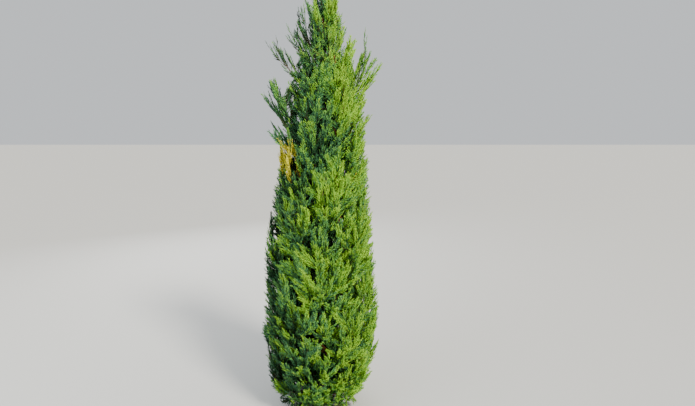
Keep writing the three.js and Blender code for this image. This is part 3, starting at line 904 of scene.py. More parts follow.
# %% Set out the plumes
PLUME_STEP = 0.018
FEWEST_PLUMES = 3
PLUME_PLACES = (0.08, 0.94)
PLUME_ANGLE_DEG = (28, 14)
PLUME_ANGLE_SPREAD_DEG = 9
PLUME_TILT_SPREAD_DEG = 40
PLUME_ROLL_SPREAD_DEG = 40
PLUME_PULL = 0.80
PLUME_LENGTH_SHARE = 0.38
PLUME_LENGTH_LEAST = 0.038
PLUME_TIP_SHRINK = 0.42
PLUME_LENGTH_SPREAD = 0.22
SLIM_HEIGHTS = (1.6, 1.95)
SLIM_SHARES = (1.0, 0.72)
NUMBERS_A_BRANCHLET = 64

plume_counts = np.round(branchlets.length * (PLUME_PLACES[1] - PLUME_PLACES[0]) / PLUME_STEP)
plume_counts = np.maximum(FEWEST_PLUMES, plume_counts).astype(int)
parent = np.repeat(np.arange(len(plume_counts)), plume_counts)
order = np.concatenate([np.arange(count) for count in plume_counts])
parent_limb = branchlets.limb[parent]
number = branchlets.number[parent] * NUMBERS_A_BRANCHLET + order
place = lerp(*PLUME_PLACES, (order + 0.5) / plume_counts[parent])
slimness = np.interp(branchlets.root[parent][:, 2], SLIM_HEIGHTS, SLIM_SHARES)
angle = either_way(PLUME_ANGLE_SPREAD_DEG, parent_limb, number, BY_PLUME_ANGLE)
plume_angle = np.radians(lerp(*PLUME_ANGLE_DEG, place) + angle) * slimness
usual_length = PLUME_LENGTH_LEAST + PLUME_LENGTH_SHARE * branchlets.length[parent]
vigour = 1 + either_way(PLUME_LENGTH_SPREAD, parent_limb, number, BY_PLUME_LENGTH)
longest = usual_length * (1 - PLUME_TIP_SHRINK * place) * vigour * slimness
print("set out:", len(parent), "plumes on", len(plume_counts), "branchlets")

# %% Fit the plumes on their branchlets
PLUME_OVERLAP = 0.08
END_PLUME_SHARE = 0.5


def plume_frames(some, angle):
    """The root and axes of plumes that leave their branchlets to the left and the right in turn."""
    limb, which, numbers = parent_limb[some], parent[some], number[some]
    stem, across, facing = branchlets.rib[which], branchlets.across[which], branchlets.facing[which]
    along = place[some][:, None]
    root = swept(branchlets.root[which], stem, along, branchlets.length[which][:, None])
    side = np.where(order[some] % 2, 1.0, -1.0)[:, None]
    tilt = np.radians(either_way(PLUME_TILT_SPREAD_DEG, limb, numbers, BY_PLUME_TILT))[:, None]
    out = across * side * np.cos(tilt) + facing * np.sin(tilt)
    lean, reach = np.cos(angle)[:, None], np.sin(angle)[:, None]
    ahead = unit(stem + UP * 2 * SWEEP_SHARE * along)
    rib = unit(ahead * lean + out * reach + upsweep(root) * PLUME_PULL)
    return root, *faced(rib, facing, either_way(PLUME_ROLL_SPREAD_DEG, limb, numbers, BY_PLUME_ROLL))


fitted, side_plumes = fit(parent_limb, number, plume_frames, plume_angle, longest, PLUME_OVERLAP)
side_place, side_parent = place[fitted], branchlets.number[parent[fitted]]
end_rib = unit(branchlets.rib + UP * 2 * SWEEP_SHARE * (1 - END_PLUME_SHARE))
end_plumes = Twigs(
    branchlets.limb,
    branchlets.number * NUMBERS_A_BRANCHLET + NUMBERS_A_BRANCHLET - 1,
    branchlets.length * END_PLUME_SHARE,
    swept(branchlets.root, branchlets.rib, 1 - END_PLUME_SHARE, branchlets.length[:, None]),
    *faced(end_rib, branchlets.facing, 0 * branchlets.length),
)
branchlet_plumes = joined(side_plumes, end_plumes)
tell("plumes on branchlets:", branchlet_plumes)

# %% [markdown]
# ## Plumes in thin places
# Where branchlets are far apart, the real tree sends single shoots from bare wood. The cells of the crown
# are gone through again, smaller this time, once near its surface and once deep inside. Each that holds too
# few plumes gets some of its own. More plumes on every branchlet would thicken the dense places as well.

# %% Add single plumes where the crown is still thin
ZONES = (
    {"height": 0.034, "sectors": 44, "from": 0.45, "to": math.inf, "depths": (0.60, 0.88),
     "fewest": 3, "first": 60_000},
    {"height": 0.045, "sectors": 15, "from": 0.12, "to": 0.5, "depths": (0.22, 0.50),
     "fewest": 5, "first": 70_000},
)
ZONE_SHARES = (0.2, 0.5, 0.8)
ALL_WOOD_SHARES = (0.2, 0.45, 0.7)
ADDED_BEYOND = 0.035
ADDED_LENGTHS = (0.07, 0.18)
ADDED_PULL = 0.35
ADDED_OVERLAP = 0.12


def plumes_towards(target, outward, first_number):
    """Single plumes that climb from the nearest wood to targets, a little past them, and face outward."""
    root = nearest_wood_below(target, all_wood)
    span = target - root
    length = np.clip(np.linalg.norm(span, axis=1) + ADDED_BEYOND, *ADDED_LENGTHS)
    direction = unit(unit(span) + ADDED_PULL * upsweep(target))

    def frames_at(some, angle):
        roll = either_way(PLUME_ROLL_SPREAD_DEG, some, 0, BY_ADDED_PLACE)
        return root[some], *faced(direction[some], outward[some], roll)

    number = first_number + np.arange(len(target))
    return fit(nearest_limb(target), number, frames_at, 0 * length, length, ADDED_OVERLAP)[1]


def plumes_for_thin_cells(zone):
    """Plumes that grow into those cells of a zone of the crown that too few plumes have reached."""
    reached = reached_cells(twig_points(branchlet_plumes, ZONE_SHARES), zone)
    wanted = np.maximum(0, zone["fewest"] - reached) // 2
    row, sector = np.divmod(np.repeat(np.arange(reached.size), wanted.ravel()), zone["sectors"])
    print("thin cells:", (wanted > 0).sum(), "of", reached.size)
    return plumes_towards(*cell_targets(row, sector, zone, BY_ADDED_PLACE), zone["first"])


all_wood = np.concatenate([wood_points, twig_points(branchlets, ALL_WOOD_SHARES)])
plumes = joined(branchlet_plumes, *[plumes_for_thin_cells(zone) for zone in ZONES])
tell("plumes so far:", plumes)

# %% [markdown]
# ## Looking through the crown
# A grower judges a hedge by whether daylight comes through it. The same is done here: from many sides and
# tilts, lines of sight are drawn through the crown, and each one that meets too few plumes gets one of its
# own, at a chance depth. Rays could be cast against the finished leaves, but a coarse grid of the plumes'
# places is much faster.

# %% Send a plume into every line of sight that is still open
SIDES_LOOKED_FROM = 18
FIRST_SIDE_DEG = 93
LOOKED_DOWN_DEG = (15, 25, 5, 32, 12, 20)
SIGHT_WIDTH = 0.013
SIGHT_HEIGHT = 0.017
SIGHT_COLUMNS = 64
SIGHT_ROWS = 132
SIGHT_REACH = 0.93
SIGHT_TOP = 1.90
SIGHT_DEPTH_SHARE = 0.55
FEWEST_MET_HEIGHTS = (0.12, 0.5)
FEWEST_MET = (8.5, 6.0)
SIGHT_NUMBER = 80_000
SEEN_SHARES = (0.1, 0.25, 0.4, 0.55, 0.7)
SEEN_TIP_SHARES = (0.85, 1.0)
SEEN_ADDED_SHARES = (0.1, 0.3, 0.5, 0.7, 0.9)
SEEN_SIDESTEPS = (-0.12, 0, 0.12)


def open_sights(points, azimuth, tilt):
    """Places on those lines of sight from one side, tilted down, that meet too few of these points."""
    ahead = level_way(azimuth)
    right = np.cross(UP, ahead)
    above = UP * math.cos(tilt) - ahead * math.sin(tilt)
    towards = ahead * math.cos(tilt) + UP * math.sin(tilt)
    column = np.floor(points @ right / SIGHT_WIDTH).astype(int) + SIGHT_COLUMNS // 2
    row = np.floor(points @ above / SIGHT_HEIGHT).astype(int)
    seen = (column >= 0) & (column < SIGHT_COLUMNS) & (row >= 0) & (row < SIGHT_ROWS)
    met = np.bincount(row[seen] * SIGHT_COLUMNS + column[seen], minlength=SIGHT_ROWS * SIGHT_COLUMNS)
    row, column = np.divmod(np.arange(met.size), SIGHT_COLUMNS)
    height = (row + 0.5) * SIGHT_HEIGHT / math.cos(tilt)
    aside = (column + 0.5 - SIGHT_COLUMNS // 2) * SIGHT_WIDTH - trunk_centre(height) @ right
    free = met < np.interp(height, FEWEST_MET_HEIGHTS, FEWEST_MET)
    free &= (height > LOWEST_CELL) & (height < SIGHT_TOP)
    free &= np.abs(aside) < SIGHT_REACH * crown_radius(height)
    height, aside = height[free], aside[free]
    half_way = np.sqrt(crown_radius(height) ** 2 - aside**2)
    depth = either_way(SIGHT_DEPTH_SHARE * half_way, azimuth, np.arange(len(height)), tilt)
    return trunk_centre(height) + right * aside[:, None] + towards * depth[:, None]


sight_points = np.concatenate([
    twig_points(plumes, SEEN_SHARES, SEEN_SIDESTEPS), twig_points(plumes, SEEN_TIP_SHARES)
])
sight_plumes = []
sights = 0
for tilt_deg, side in product(LOOKED_DOWN_DEG, range(SIDES_LOOKED_FROM)):
    azimuth = math.radians(FIRST_SIDE_DEG) + 2 * math.pi * side / SIDES_LOOKED_FROM
    target = open_sights(sight_points, azimuth, math.radians(tilt_deg))
    added = plumes_towards(target, off_trunk(target) + UP * NUDGE, SIGHT_NUMBER + sights)
    added_points = twig_points(added, SEEN_ADDED_SHARES, SEEN_SIDESTEPS)
    sight_points = np.concatenate([sight_points, added_points])
    sight_plumes.append(added)
    sights += len(target)
plumes = joined(plumes, *sight_plumes)
print("open lines of sight:", sights)
tell("plumes in all:", plumes)

# %% [markdown]
# ## Colour by spray
# The tree has no single green, and its light and shade are painted into the colours of its sprays. Deep
# inside it is painted shade that is nearly black, the flank away from the sun is painted blue green shade,
# and the tips on the sunny flank are painted yellow green sunlight. A few sprays have died and turned gold
# or brown. An image could paint this, but here every spray is dealt one of a few plain colours, by where it
# stands and by chance.

# %% Measure where each plume stands
# the way that the painted sunlight on the sprays comes from
SUN_DIRECTION = unit(np.array([0.85, -0.5, 0.0]))
MIDDLE_SHARE = 0.6
# added plumes count as growing near a branchlet's foot, which gives them painted shade
ADDED_PAINTED_SHADE_PLACE = 0.1

plume_middle = swept(plumes.root, plumes.rib, MIDDLE_SHARE, plumes.length[:, None])
plume_height = plume_middle[:, 2]
plume_out = off_trunk(plume_middle)
plume_distance = np.linalg.norm(plume_out, axis=1)
outerness = plume_distance / np.maximum(crown_radius(plume_height), NARROWEST_CROWN)
sunny_side = (plume_out @ SUN_DIRECTION) / np.maximum(plume_distance, NARROWEST_CROWN)
sun_share = (sunny_side + 1) / 2
added_numbers = plumes.number[len(branchlet_plumes.number):]
plume_place = np.concatenate([
    side_place, np.full(len(branchlets.number), PLUME_PLACES[1]), np.full(len(added_numbers), ADDED_PAINTED_SHADE_PLACE)
])
plume_parent = np.concatenate([side_parent, branchlets.number, added_numbers])


def distance_from(place):
    """How far the middle of each plume is from a place."""
    return np.linalg.norm(plume_middle - np.array(place), axis=1)


print("plumes beyond the crown's outline:", (outerness > 1).sum(), "of", len(outerness))

# %% Deal each plume its brightness
# painted sunlight on the sunny flank and painted shade on the other flank
SUNNY_GAIN = 0.28
# painted light on the outside of the crown and painted shade deep inside
OUTER_PAINTED_LIGHT_GAIN = 0.70
# painted shade near the feet of branchlets and painted light near their tips
ALONG_PAINTED_LIGHT_GAIN = 0.28
# painted shade towards the foot of the tree and painted light higher up
HEIGHT_PAINTED_LIGHT_GAIN = 0.12
MIDDLE_BRIGHTNESS = 0.5
MIDDLE_HEIGHT = 0.9
MIDDLE_PLACE = 0.5
MIDDLE_OUTERNESS = 0.62
MOST_OUTERNESS = 1.2
SPIRE_HEIGHTS = (1.72, 2.0)
# how much of the painted inner shade and outer light is left in the spire
SPIRE_PAINTED_DEPTH_SHARES = (1.0, 0.45)
# painted shade on strays that reach past the crown
STRAY_PAINTED_SHADE = 0.8
STRAY_OUTERNESS = (1.08, 1.45)
BRANCHLET_LUCK = 0.62
PLUME_LUCK = 0.20
LUCK_SHADE_TO_SUN = (1.6, 0.62)
SKEW_SHADE_TO_SUN = (3.0, 1.0)
CEILING_SHADE_TO_SUN = (0.74, 1.4)
CALM_HEIGHTS = (1.5, 2.0)
CALM_SHARES = (1.0, 0.45)
# east, north, height, radius and gain: painted shade where the gain is below nought, painted light where it
# is above
PAINTED_SHADE_AND_LIGHT_PATCHES = (
    (0.03, -0.14, 1.52, 0.14, -0.40),
    (-0.12, -0.20, 0.24, 0.18, -0.25),
    (0.00, -0.26, 1.05, 0.20, -0.03),
    (0.03, -0.26, 0.15, 0.20, 0.26),
    (0.03, -0.28, 0.50, 0.15, 0.08),
    (-0.10, -0.22, 0.85, 0.16, 0.18),
)

luck = lerp(*LUCK_SHADE_TO_SUN, sun_share) * np.interp(plume_height, CALM_HEIGHTS, CALM_SHARES)
skew = lerp(*SKEW_SHADE_TO_SUN, sun_share)


def dealt_luck(numbers, choice):
    """Luck that is nought on average: even in the sun, and often a bit bad but seldom very good in shade."""
    return luck * (chance(plumes.limb, numbers, choice) ** skew - 1 / (1 + skew))


outer_painted_light = OUTER_PAINTED_LIGHT_GAIN * np.interp(plume_height, SPIRE_HEIGHTS, SPIRE_PAINTED_DEPTH_SHARES)
# the brightness adds up painted light and shade and the chance of each branchlet and plume
brightness = (
    MIDDLE_BRIGHTNESS
    + SUNNY_GAIN * sunny_side
    + outer_painted_light * (np.minimum(outerness, MOST_OUTERNESS) - MIDDLE_OUTERNESS)
    + ALONG_PAINTED_LIGHT_GAIN * (plume_place - MIDDLE_PLACE)
    + BRANCHLET_LUCK * dealt_luck(plume_parent, BY_BRANCHLET_LUCK)
    + PLUME_LUCK * dealt_luck(plumes.number, BY_PLUME_LUCK)
    + HEIGHT_PAINTED_LIGHT_GAIN * (plume_height - MIDDLE_HEIGHT)
    - STRAY_PAINTED_SHADE * (np.clip(outerness, *STRAY_OUTERNESS) - STRAY_OUTERNESS[0])
)
for *place, radius, gain in PAINTED_SHADE_AND_LIGHT_PATCHES:
    brightness += gain * np.exp(-((distance_from(place) / radius) ** 2))
# plumes on the shaded flank are held below the sunny tones, which keeps them in painted shade
brightness = np.minimum(brightness, lerp(*CEILING_SHADE_TO_SUN, sun_share))
print("plume brightness from", brightness.min().round(2), "to", brightness.max().round(2))

# %% Name the colours and where sprays have died
# the greens from deep to yellow_green are dealt by brightness, so they carry painted shade at the dark end
# and painted sunlight at the bright end as well as chance; golden and rusty are the dead sprays' own colours
FOLIAGE_TONES = {
    "deep": (0.007, 0.029, 0.007),
    "shade": (0.020, 0.080, 0.027),
    "blue_green": (0.048, 0.152, 0.070),
    "mid_green": (0.090, 0.265, 0.096),
    "fresh_green": (0.168, 0.415, 0.078),
    "sunny_green": (0.265, 0.570, 0.042),
    "yellow_green": (0.390, 0.710, 0.048),
    "golden": (1.000, 0.830, 0.070),
    "rusty": (0.230, 0.090, 0.030),
}
TONE_STEPS = (0.14, 0.32, 0.48, 0.66, 0.86, 1.05)
# east, north, height and radius
GOLDEN_PATCHES = ((-0.155, -0.07, 1.41, 0.082), (-0.12, -0.10, 1.34, 0.045), (0.17, -0.10, 1.30, 0.035))
RUSTY_SHARE = 0.018
RUSTY_OUTERNESS = 0.75
ALIVE = -1
GOLDEN = list(FOLIAGE_TONES).index("golden")
RUSTY = list(FOLIAGE_TONES).index("rusty")

dead_tone = np.full(len(plumes.limb), ALIVE)
rusty = (chance(plumes.limb, plumes.number, BY_DEATH) < RUSTY_SHARE) & (outerness < RUSTY_OUTERNESS)
dead_tone[rusty] = RUSTY
for *place, radius in GOLDEN_PATCHES:
    dead_tone[distance_from(place) < radius] = GOLDEN
print("dead plumes:", (dead_tone == GOLDEN).sum(), "golden and", (dead_tone == RUSTY).sum(), "rusty")

# %% [markdown]
# ## The shoots of every plume
# Every plume now takes the shoots of the pattern that fits its length best. Instances would be lighter, but
# the tree is handed on as plain meshes, so the shoots are written out, by one piece of arithmetic for each
# pattern. Plumes deep inside take every second shoot and draw it wider, because they hardly show. A shoot's
# tone follows its plume's brightness, its own place on the plume and its strand's luck.

# %% Copy the patterns onto the plumes
# painted light towards the tip and edges of each plume, and painted shade near the foot of its rib
TIP_PAINTED_LIGHT_GAIN = 0.22
STRAND_LUCK = 0.24
MIDDLE_REACH = 0.5
INNER_OUTERNESS = 0.62
INNER_THINNING = 2
INNER_WIDENING = 2.2


def placed_shoots(picked, rows, width, pattern_length):
    """The corners of a pattern's shoots on the picked plumes, scaled, turned and swept up with them."""
    base, direction, facing = rows[:, None, :3], rows[:, None, 3:6], rows[:, None, 6:9]
    corners = (
        base
        + np.cross(direction, facing) * (SHOOT_CORNERS[:, :1] * width)
        + direction * (SHOOT_CORNERS[:, 1:2] * rows[:, LENGTH_COLUMN, None, None])
        + facing * (SHOOT_CORNERS[:, 2:] * width)
    )
    axes = np.stack([plumes.across[picked], plumes.rib[picked], plumes.facing[picked]], 1)
    scale = (plumes.length[picked] / pattern_length)[:, None, None, None]
    placed = np.einsum("skc,pcd->pskd", corners, axes) * scale
    along = corners[None, ..., 1:2] / pattern_length
    placed = placed + UP * SWEEP_SHARE * along**2 * (scale * pattern_length)
    return placed + plumes.root[picked][:, None, None, :]


size_limits = np.sqrt(np.multiply(PLUME_LENGTHS[:-1], PLUME_LENGTHS[1:]))
plume_size = np.searchsorted(size_limits, plumes.length, side="right")
shoot_places, shoot_tones, shoot_limbs = [], [], []
for size, version, inner in product(range(len(PLUME_LENGTHS)), range(PLUME_VERSIONS), (False, True)):
    right_place = (outerness < INNER_OUTERNESS) == inner
    picked = np.flatnonzero((plume_size == size) & (plumes.number % PLUME_VERSIONS == version) & right_place)
    length = PLUME_LENGTHS[size]
    rows = plume_patterns[size][version][::INNER_THINNING if inner else 1]
    width = rows[:, WIDTH_COLUMN, None, None] * (INNER_WIDENING if inner else 1)
    shoot_places.append(placed_shoots(picked, rows, width, length).reshape(-1, len(SHOOT_CORNERS), 3))
    shoot_limbs.append(np.repeat(plumes.limb[picked], len(rows)))

    random = np.random.default_rng((PLUME_SEED, size, version, inner))
    strand = rows[:, STRAND_COLUMN].astype(int)
    strand_luck = random.uniform(-1, 1, (len(picked), strand.max() + 1))[:, strand]
    reach = (rows[:, 1] + np.abs(rows[:, 0])) / length
    value = brightness[picked][:, None] + TIP_PAINTED_LIGHT_GAIN * (reach[None] - MIDDLE_REACH) + STRAND_LUCK * strand_luck
    dead = dead_tone[picked][:, None]
    shoot_tones.append(np.where(dead == ALIVE, np.searchsorted(TONE_STEPS, value), dead).ravel())
shoot_places, shoot_tones, shoot_limbs = map(np.concatenate, (shoot_places, shoot_tones, shoot_limbs))
print("shoots:", len(shoot_places), "with", len(SHOOT_FACES) * len(shoot_places), "triangles")

# %% Join the shoots, tone by tone
SHOOTS_A_PIECE = 48_000


def mass_name(limb):
    """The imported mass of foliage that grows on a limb."""
    return "leader_foliage" if limb >= LEADER else f"foliage_{limb + 1:02}"


def repeated(faces, corner_count, copies):
    """The faces of a shape again for each of its copies, whose corners follow each other."""
    offsets = (np.arange(copies) * corner_count)[:, None, None]
    return (faces[None] + offsets).reshape(-1, 3)


def triangle_mesh(name, corners, triangles):
    """One mesh from arrays of corners and of triangles."""
    mesh = bpy.data.meshes.new(name)
    mesh.vertices.add(len(corners))
    mesh.vertices.foreach_set("co", corners.astype(np.float32).ravel())
    mesh.loops.add(triangles.size)
    mesh.loops.foreach_set("vertex_index", triangles.astype(np.int32).ravel())
    mesh.polygons.add(len(triangles))
    mesh.polygons.foreach_set("loop_start", np.arange(0, triangles.size, 3, dtype=np.int32))
    mesh.update(calc_edges=True)
    return mesh


foliage_pieces = []
for tone, tone_name in enumerate(FOLIAGE_TONES):
    members = np.flatnonzero(shoot_tones == tone)
    members = members[np.argsort(shoot_limbs[members], kind="stable")]
    for part, some in enumerate(np.array_split(members, math.ceil(len(members) / SHOOTS_A_PIECE))):
        label = f"sprays_{tone_name}_{part + 1}"
        triangles = repeated(SHOOT_FACES, len(SHOOT_CORNERS), len(some))
        piece = add_piece(label, triangle_mesh(label, shoot_places[some].reshape(-1, 3), triangles))
        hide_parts(*[mass_name(limb) for limb in sorted(set(shoot_limbs[some].tolist()))])
        foliage_pieces.append((piece, tone_name))
        print(piece.name, len(piece.data.polygons), "triangles")

# %% [markdown]
# ## Twigs
# Under its plumes every branchlet is a thin brown stem, and so is the rib of every plume. There are
# thousands, so each is a slim three sided spindle made from arrays in one mesh, bent by the same upward
# sweep. Skinned edges would give rounder twigs, and far too many faces.

# %% Join the twigs
TWIG_SIDES = 3
BRANCHLET_RINGS = 5
BRANCHLET_FOOT_RADIUS = 0.0015
RIB_RINGS = 1
RIB_FOOT_RADIUS = 0.0008
TWIG_END_SHARE = 0.4
TWIG_WOOD_SHARE = 0.9


def spindles(rings, foot_radius, twigs):
    """Corners and faces of tapering spindles along twigs, all cut into the same number of rings."""
    model = bmesh.new()
    column(model, TWIG_SIDES, rings)
    bmesh.ops.triangulate(model, faces=model.faces)
    corners, faces = read_arrays(model)
    up_share = corners[None, :, 2:] * TWIG_WOOD_SHARE
    radius = foot_radius * np.sqrt(twigs.length / twigs.length.mean())[:, None, None]
    radius = radius * lerp(1.0, TWIG_END_SHARE, up_share)
    placed = swept(twigs.root[:, None], twigs.rib[:, None], up_share, twigs.length[:, None, None])
    beside = twigs.across[:, None] * corners[None, :, :1] + twigs.facing[:, None] * corners[None, :, 1:2]
    return (placed + beside * radius).reshape(-1, 3), repeated(faces, len(corners), len(twigs.root))


stem_corners, stem_faces = spindles(BRANCHLET_RINGS, BRANCHLET_FOOT_RADIUS, branchlets)
rib_corners, rib_faces = spindles(RIB_RINGS, RIB_FOOT_RADIUS, plumes)
twig_corners = np.concatenate([stem_corners, rib_corners])
twig_faces = np.concatenate([stem_faces, rib_faces + len(stem_corners)])
twigs = add_piece("twigs", triangle_mesh("twigs", twig_corners, twig_faces))
print("twigs:", len(twigs.data.polygons), "triangles")

# %% [markdown]
# ## Shared effects
# Effects that several materials share are node groups, built once: a soft mottling of colour, and the
# furrows of bark. The nodes could be copied into every material, but then a change would have to be made in
# each. The groups put out a colour, a height and a roughness, and the shader stays in the material.

# %% Make the tools for nodes
def add_node(tree, kind, values=None, **settings):
    """A shader node of one kind, with its settings and then the values of its inputs."""
    node = tree.nodes.new(f"ShaderNode{kind}")
    for name, value in settings.items():
        setattr(node, name, value)
    for name, value in (values or {}).items():
        node.inputs[name].default_value = value
    return node


def wire(tree, *wires):
    """Joins sockets, each pair told as a node and its output, then a node and its input."""
    for giver, output, taker, entry in wires:
        tree.links.new(giver.outputs[output], taker.inputs[entry])


def new_effect(name, inputs):
    """An empty node group with a place and these numbers and colours as inputs, and its three outputs."""
    group = bpy.data.node_groups.new(name, "ShaderNodeTree")
    group.interface.new_socket("Vector", in_out="INPUT", socket_type="NodeSocketVector")
    for label, value in inputs.items():
        kind = "NodeSocketFloat" if isinstance(value, float) else "NodeSocketColor"
        socket = group.interface.new_socket(label, in_out="INPUT", socket_type=kind)
        socket.default_value = value
    for label, kind in (("Color", "Color"), ("Height", "Float"), ("Roughness", "Float")):
        group.interface.new_socket(label, in_out="OUTPUT", socket_type=f"NodeSocket{kind}")
    return group, group.nodes.new("NodeGroupInput"), group.nodes.new("NodeGroupOutput")


# %% Build the mottling of leaves
BLACK = (0, 0, 0, 1)
WHITE = (1, 1, 1, 1)

leaf_mottle, given, result = new_effect(
    "leaf_mottle", {"Dark": BLACK, "Light": WHITE, "Patch Size": 60.0, "Scale Size": 700.0}
)
patches = add_node(leaf_mottle, "TexNoise", {"Detail": 3.0})
scales = add_node(leaf_mottle, "TexVoronoi")
spread = add_node(leaf_mottle, "MapRange", {"From Min": 0.34, "From Max": 0.66})
mix = add_node(leaf_mottle, "Mix", data_type="RGBA")
rough = add_node(leaf_mottle, "MapRange", {"To Min": 0.48, "To Max": 0.72})
wire(
    leaf_mottle,
    (given, "Vector", patches, "Vector"),
    (given, "Patch Size", patches, "Scale"),
    (given, "Vector", scales, "Vector"),
    (given, "Scale Size", scales, "Scale"),
    (patches, "Fac", spread, "Value"),
    (spread, "Result", mix, "Factor"),
    (given, "Dark", mix, "A"),
    (given, "Light", mix, "B"),
    (mix, "Result", result, "Color"),
    (scales, "Distance", result, "Height"),
    (patches, "Fac", rough, "Value"),
    (rough, "Result", result, "Roughness"),
)
print(leaf_mottle.name, "has", len(leaf_mottle.nodes), "nodes")

# %% Build the furrows of bark
BARK_STRETCH = (1.0, 1.0, 0.12)

bark_furrows, given, result = new_effect(
    "bark_furrows",
    {"Furrow": BLACK, "Ridge": WHITE, "Weathered": WHITE, "Fineness": 140.0, "Weathering": 0.4},
)
stretch = add_node(bark_furrows, "VectorMath", {1: BARK_STRETCH}, operation="MULTIPLY")
strips = add_node(bark_furrows, "TexNoise", {"Detail": 6.0})
blotches = add_node(bark_furrows, "TexNoise", {"Scale": 28.0})
spread = add_node(bark_furrows, "MapRange", {"From Min": 0.38, "From Max": 0.62})
patch = add_node(bark_furrows, "MapRange", {"From Min": 0.5, "From Max": 0.7})
share = add_node(bark_furrows, "Math", operation="MULTIPLY")
wood = add_node(bark_furrows, "Mix", data_type="RGBA")
aged = add_node(bark_furrows, "Mix", data_type="RGBA")
rough = add_node(bark_furrows, "MapRange", {"To Min": 0.95, "To Max": 0.72})
wire(
    bark_furrows,
    (given, "Vector", stretch, 0),
    (stretch, 0, strips, "Vector"),
    (given, "Fineness", strips, "Scale"),
    (given, "Vector", blotches, "Vector"),
    (strips, "Fac", spread, "Value"),
    (spread, "Result", wood, "Factor"),
    (given, "Furrow", wood, "A"),
    (given, "Ridge", wood, "B"),
    (blotches, "Fac", patch, "Value"),
    (patch, "Result", share, 0),
    (given, "Weathering", share, 1),
    (share, 0, aged, "Factor"),
    (wood, "Result", aged, "A"),
    (given, "Weathered", aged, "B"),
    (aged, "Result", result, "Color"),
    (strips, "Fac", result, "Height"),
    (spread, "Result", rough, "Value"),
    (rough, "Result", result, "Roughness"),
)
print(bark_furrows.name, "has", len(bark_furrows.nodes), "nodes")

# %% [markdown]
# ## Finishes
# Scale leaves are waxy but barely shine, and bark is dull and rough. One material with painted maps could
# serve them all, but plain materials, one for each tone and each kind of wood, are easy to change. Each
# sets its own values in a shared effect. They read Object coordinates, which are the tree's own place in
# metres, so the patterns stay on it from every side.

# %% Make the materials of the leaves
LEAF_BUMP = 0.25
LEAF_BUMP_HEIGHT = 0.0004
LEAF_SPECULAR = 0.13
DARKER = 0.8
LIGHTER = 1.25
PLAIN_SPECULAR = 0.5


def new_material(name, group, values, bump, bump_height, specular=PLAIN_SPECULAR):
    """A material whose colour, roughness and relief come from a shared effect on Object coordinates."""
    material = bpy.data.materials.new(name)
    material.use_nodes = True
    tree = material.node_tree
    tree.nodes.clear()
    place = add_node(tree, "TexCoord")
    effect = add_node(tree, "Group", values, node_tree=group)
    relief = add_node(tree, "Bump", {"Strength": bump, "Distance": bump_height})
    shader = add_node(tree, "BsdfPrincipled", {"Specular IOR Level": specular})
    output = add_node(tree, "OutputMaterial")
    wire(
        tree,
        (place, "Object", effect, "Vector"),
        (effect, "Color", shader, "Base Color"),
        (effect, "Roughness", shader, "Roughness"),
        (effect, "Height", relief, "Height"),
        (relief, "Normal", shader, "Normal"),
        (shader, "BSDF", output, "Surface"),
    )
    return material


def shade_of(colour, factor):
    """A colour made darker or lighter by a factor, as four numbers."""
    return (*[min(1.0, channel * factor) for channel in colour], 1.0)


# each green tone makes its own copy of the leaf material, so these are lit and shaded copies that carry the
# painted light and shade
leaf_materials = {}
for tone_name, colour in FOLIAGE_TONES.items():
    shades = {"Dark": shade_of(colour, DARKER), "Light": shade_of(colour, LIGHTER)}
    leaf_materials[tone_name] = new_material(
        f"leaf_{tone_name}", leaf_mottle, shades, LEAF_BUMP, LEAF_BUMP_HEIGHT, LEAF_SPECULAR
    )
for piece, tone_name in foliage_pieces:
    piece.data.materials.append(leaf_materials[tone_name])
print("materials of the leaves:", len(leaf_materials))

# %% Make the materials of the bark
# the piece, the material's name, the bump's strength and height, and the values of the effect
BARKS = (
    (trunk, "trunk_bark", 0.6, 0.0012, {
        "Furrow": (0.035, 0.020, 0.013, 1), "Ridge": (0.200, 0.112, 0.066, 1),
        "Weathered": (0.260, 0.235, 0.200, 1), "Fineness": 170.0, "Weathering": 0.5,
    }),
    (boughs, "bough_bark", 0.6, 0.0006, {
        "Furrow": (0.070, 0.034, 0.018, 1), "Ridge": (0.250, 0.128, 0.060, 1),
        "Weathered": (0.200, 0.190, 0.110, 1), "Fineness": 260.0, "Weathering": 0.35,
    }),
    (twigs, "twig_bark", 0.3, 0.0004, {
        "Furrow": (0.090, 0.050, 0.020, 1), "Ridge": (0.230, 0.150, 0.055, 1),
        "Weathered": (0.120, 0.170, 0.050, 1), "Fineness": 400.0, "Weathering": 0.8,
    }),
)

for piece, label, bump, bump_height, values in BARKS:
    piece.data.materials.append(new_material(label, bark_furrows, values, bump, bump_height))
print("materials of the bark:", len(BARKS))

# %% [markdown]
# ## Floor and light
# The tree stands on a plain pale floor. The sun came from the right and from behind the camera, so a warm
# soft sun lamp shines from there. A cool lamp fills the left side, another lights the back, and a plain
# pale sky does the rest. A picture of a sky would light it too, but would bring its own landscape along.

# %% Lay the floor
FLOOR_SIZE = 40.0
FLOOR_COLOUR = (0.62, 0.61, 0.58, 1.0)
FLOOR_ROUGHNESS = 0.9

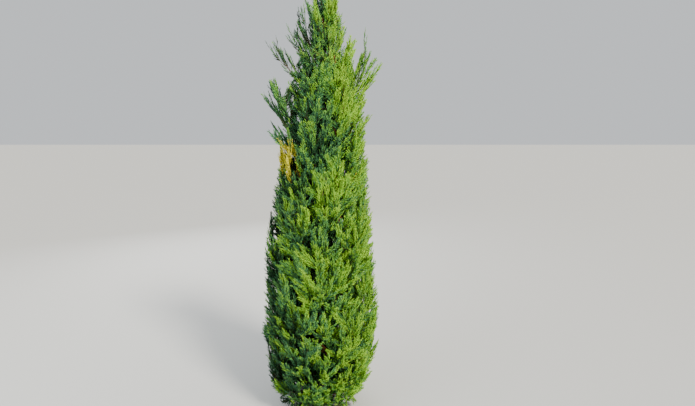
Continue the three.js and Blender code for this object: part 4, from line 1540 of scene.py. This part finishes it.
floor_model = bmesh.new()
bmesh.ops.create_grid(floor_model, x_segments=1, y_segments=1, size=FLOOR_SIZE / 2)
floor_mesh = bpy.data.meshes.new("floor")
floor_model.to_mesh(floor_mesh)
floor_model.free()
floor = bpy.data.objects.new("floor", floor_mesh)
bpy.context.scene.collection.objects.link(floor)
floor_material = bpy.data.materials.new("floor")
floor_material.use_nodes = True
floor_shader = floor_material.node_tree.nodes["Principled BSDF"]
floor_shader.inputs["Base Color"].default_value = FLOOR_COLOUR
floor_shader.inputs["Roughness"].default_value = FLOOR_ROUGHNESS
floor_mesh.materials.append(floor_material)
print("floor:", FLOOR_SIZE, "m wide")

# %% Set the lamps and the sky
SKY_COLOUR = (0.84, 0.87, 0.90, 1.0)
SKY_STRENGTH = 0.85
CROWN_MIDDLE = (0.0, 0.0, 1.1)
SUN_PLACE = (0.66, -0.70, 0.92)
SUN_SOFTNESS = math.radians(14)


def add_lamp(name, kind, place, aim, colour, **settings):
    """A lamp of one kind at a place, turned to face a point."""
    data = bpy.data.lights.new(name, kind)
    data.color = colour
    for setting, value in settings.items():
        setattr(data, setting, value)
    lamp = bpy.data.objects.new(name, data)
    lamp.location = place
    lamp.rotation_euler = (Vector(aim) - Vector(place)).to_track_quat("-Z", "Y").to_euler()
    bpy.context.scene.collection.objects.link(lamp)


add_lamp("fill_lamp", "AREA", (-2.8, -2.0, 2.2), CROWN_MIDDLE, (0.76, 0.89, 1.0), size=2.2, energy=60)
add_lamp("back_lamp", "AREA", (-1.6, 3.4, 2.4), CROWN_MIDDLE, (0.92, 0.96, 1.0), size=2.6, energy=90)
add_lamp("sun_lamp", "SUN", SUN_PLACE, (0, 0, 0), (1.0, 0.96, 0.86), angle=SUN_SOFTNESS, energy=4.2)
sky = bpy.data.worlds.new("sky")
sky.use_nodes = True
background = sky.node_tree.nodes["Background"]
background.inputs["Color"].default_value = SKY_COLOUR
background.inputs["Strength"].default_value = SKY_STRENGTH
bpy.context.scene.world = sky
print("lamps:", len(bpy.data.lights))
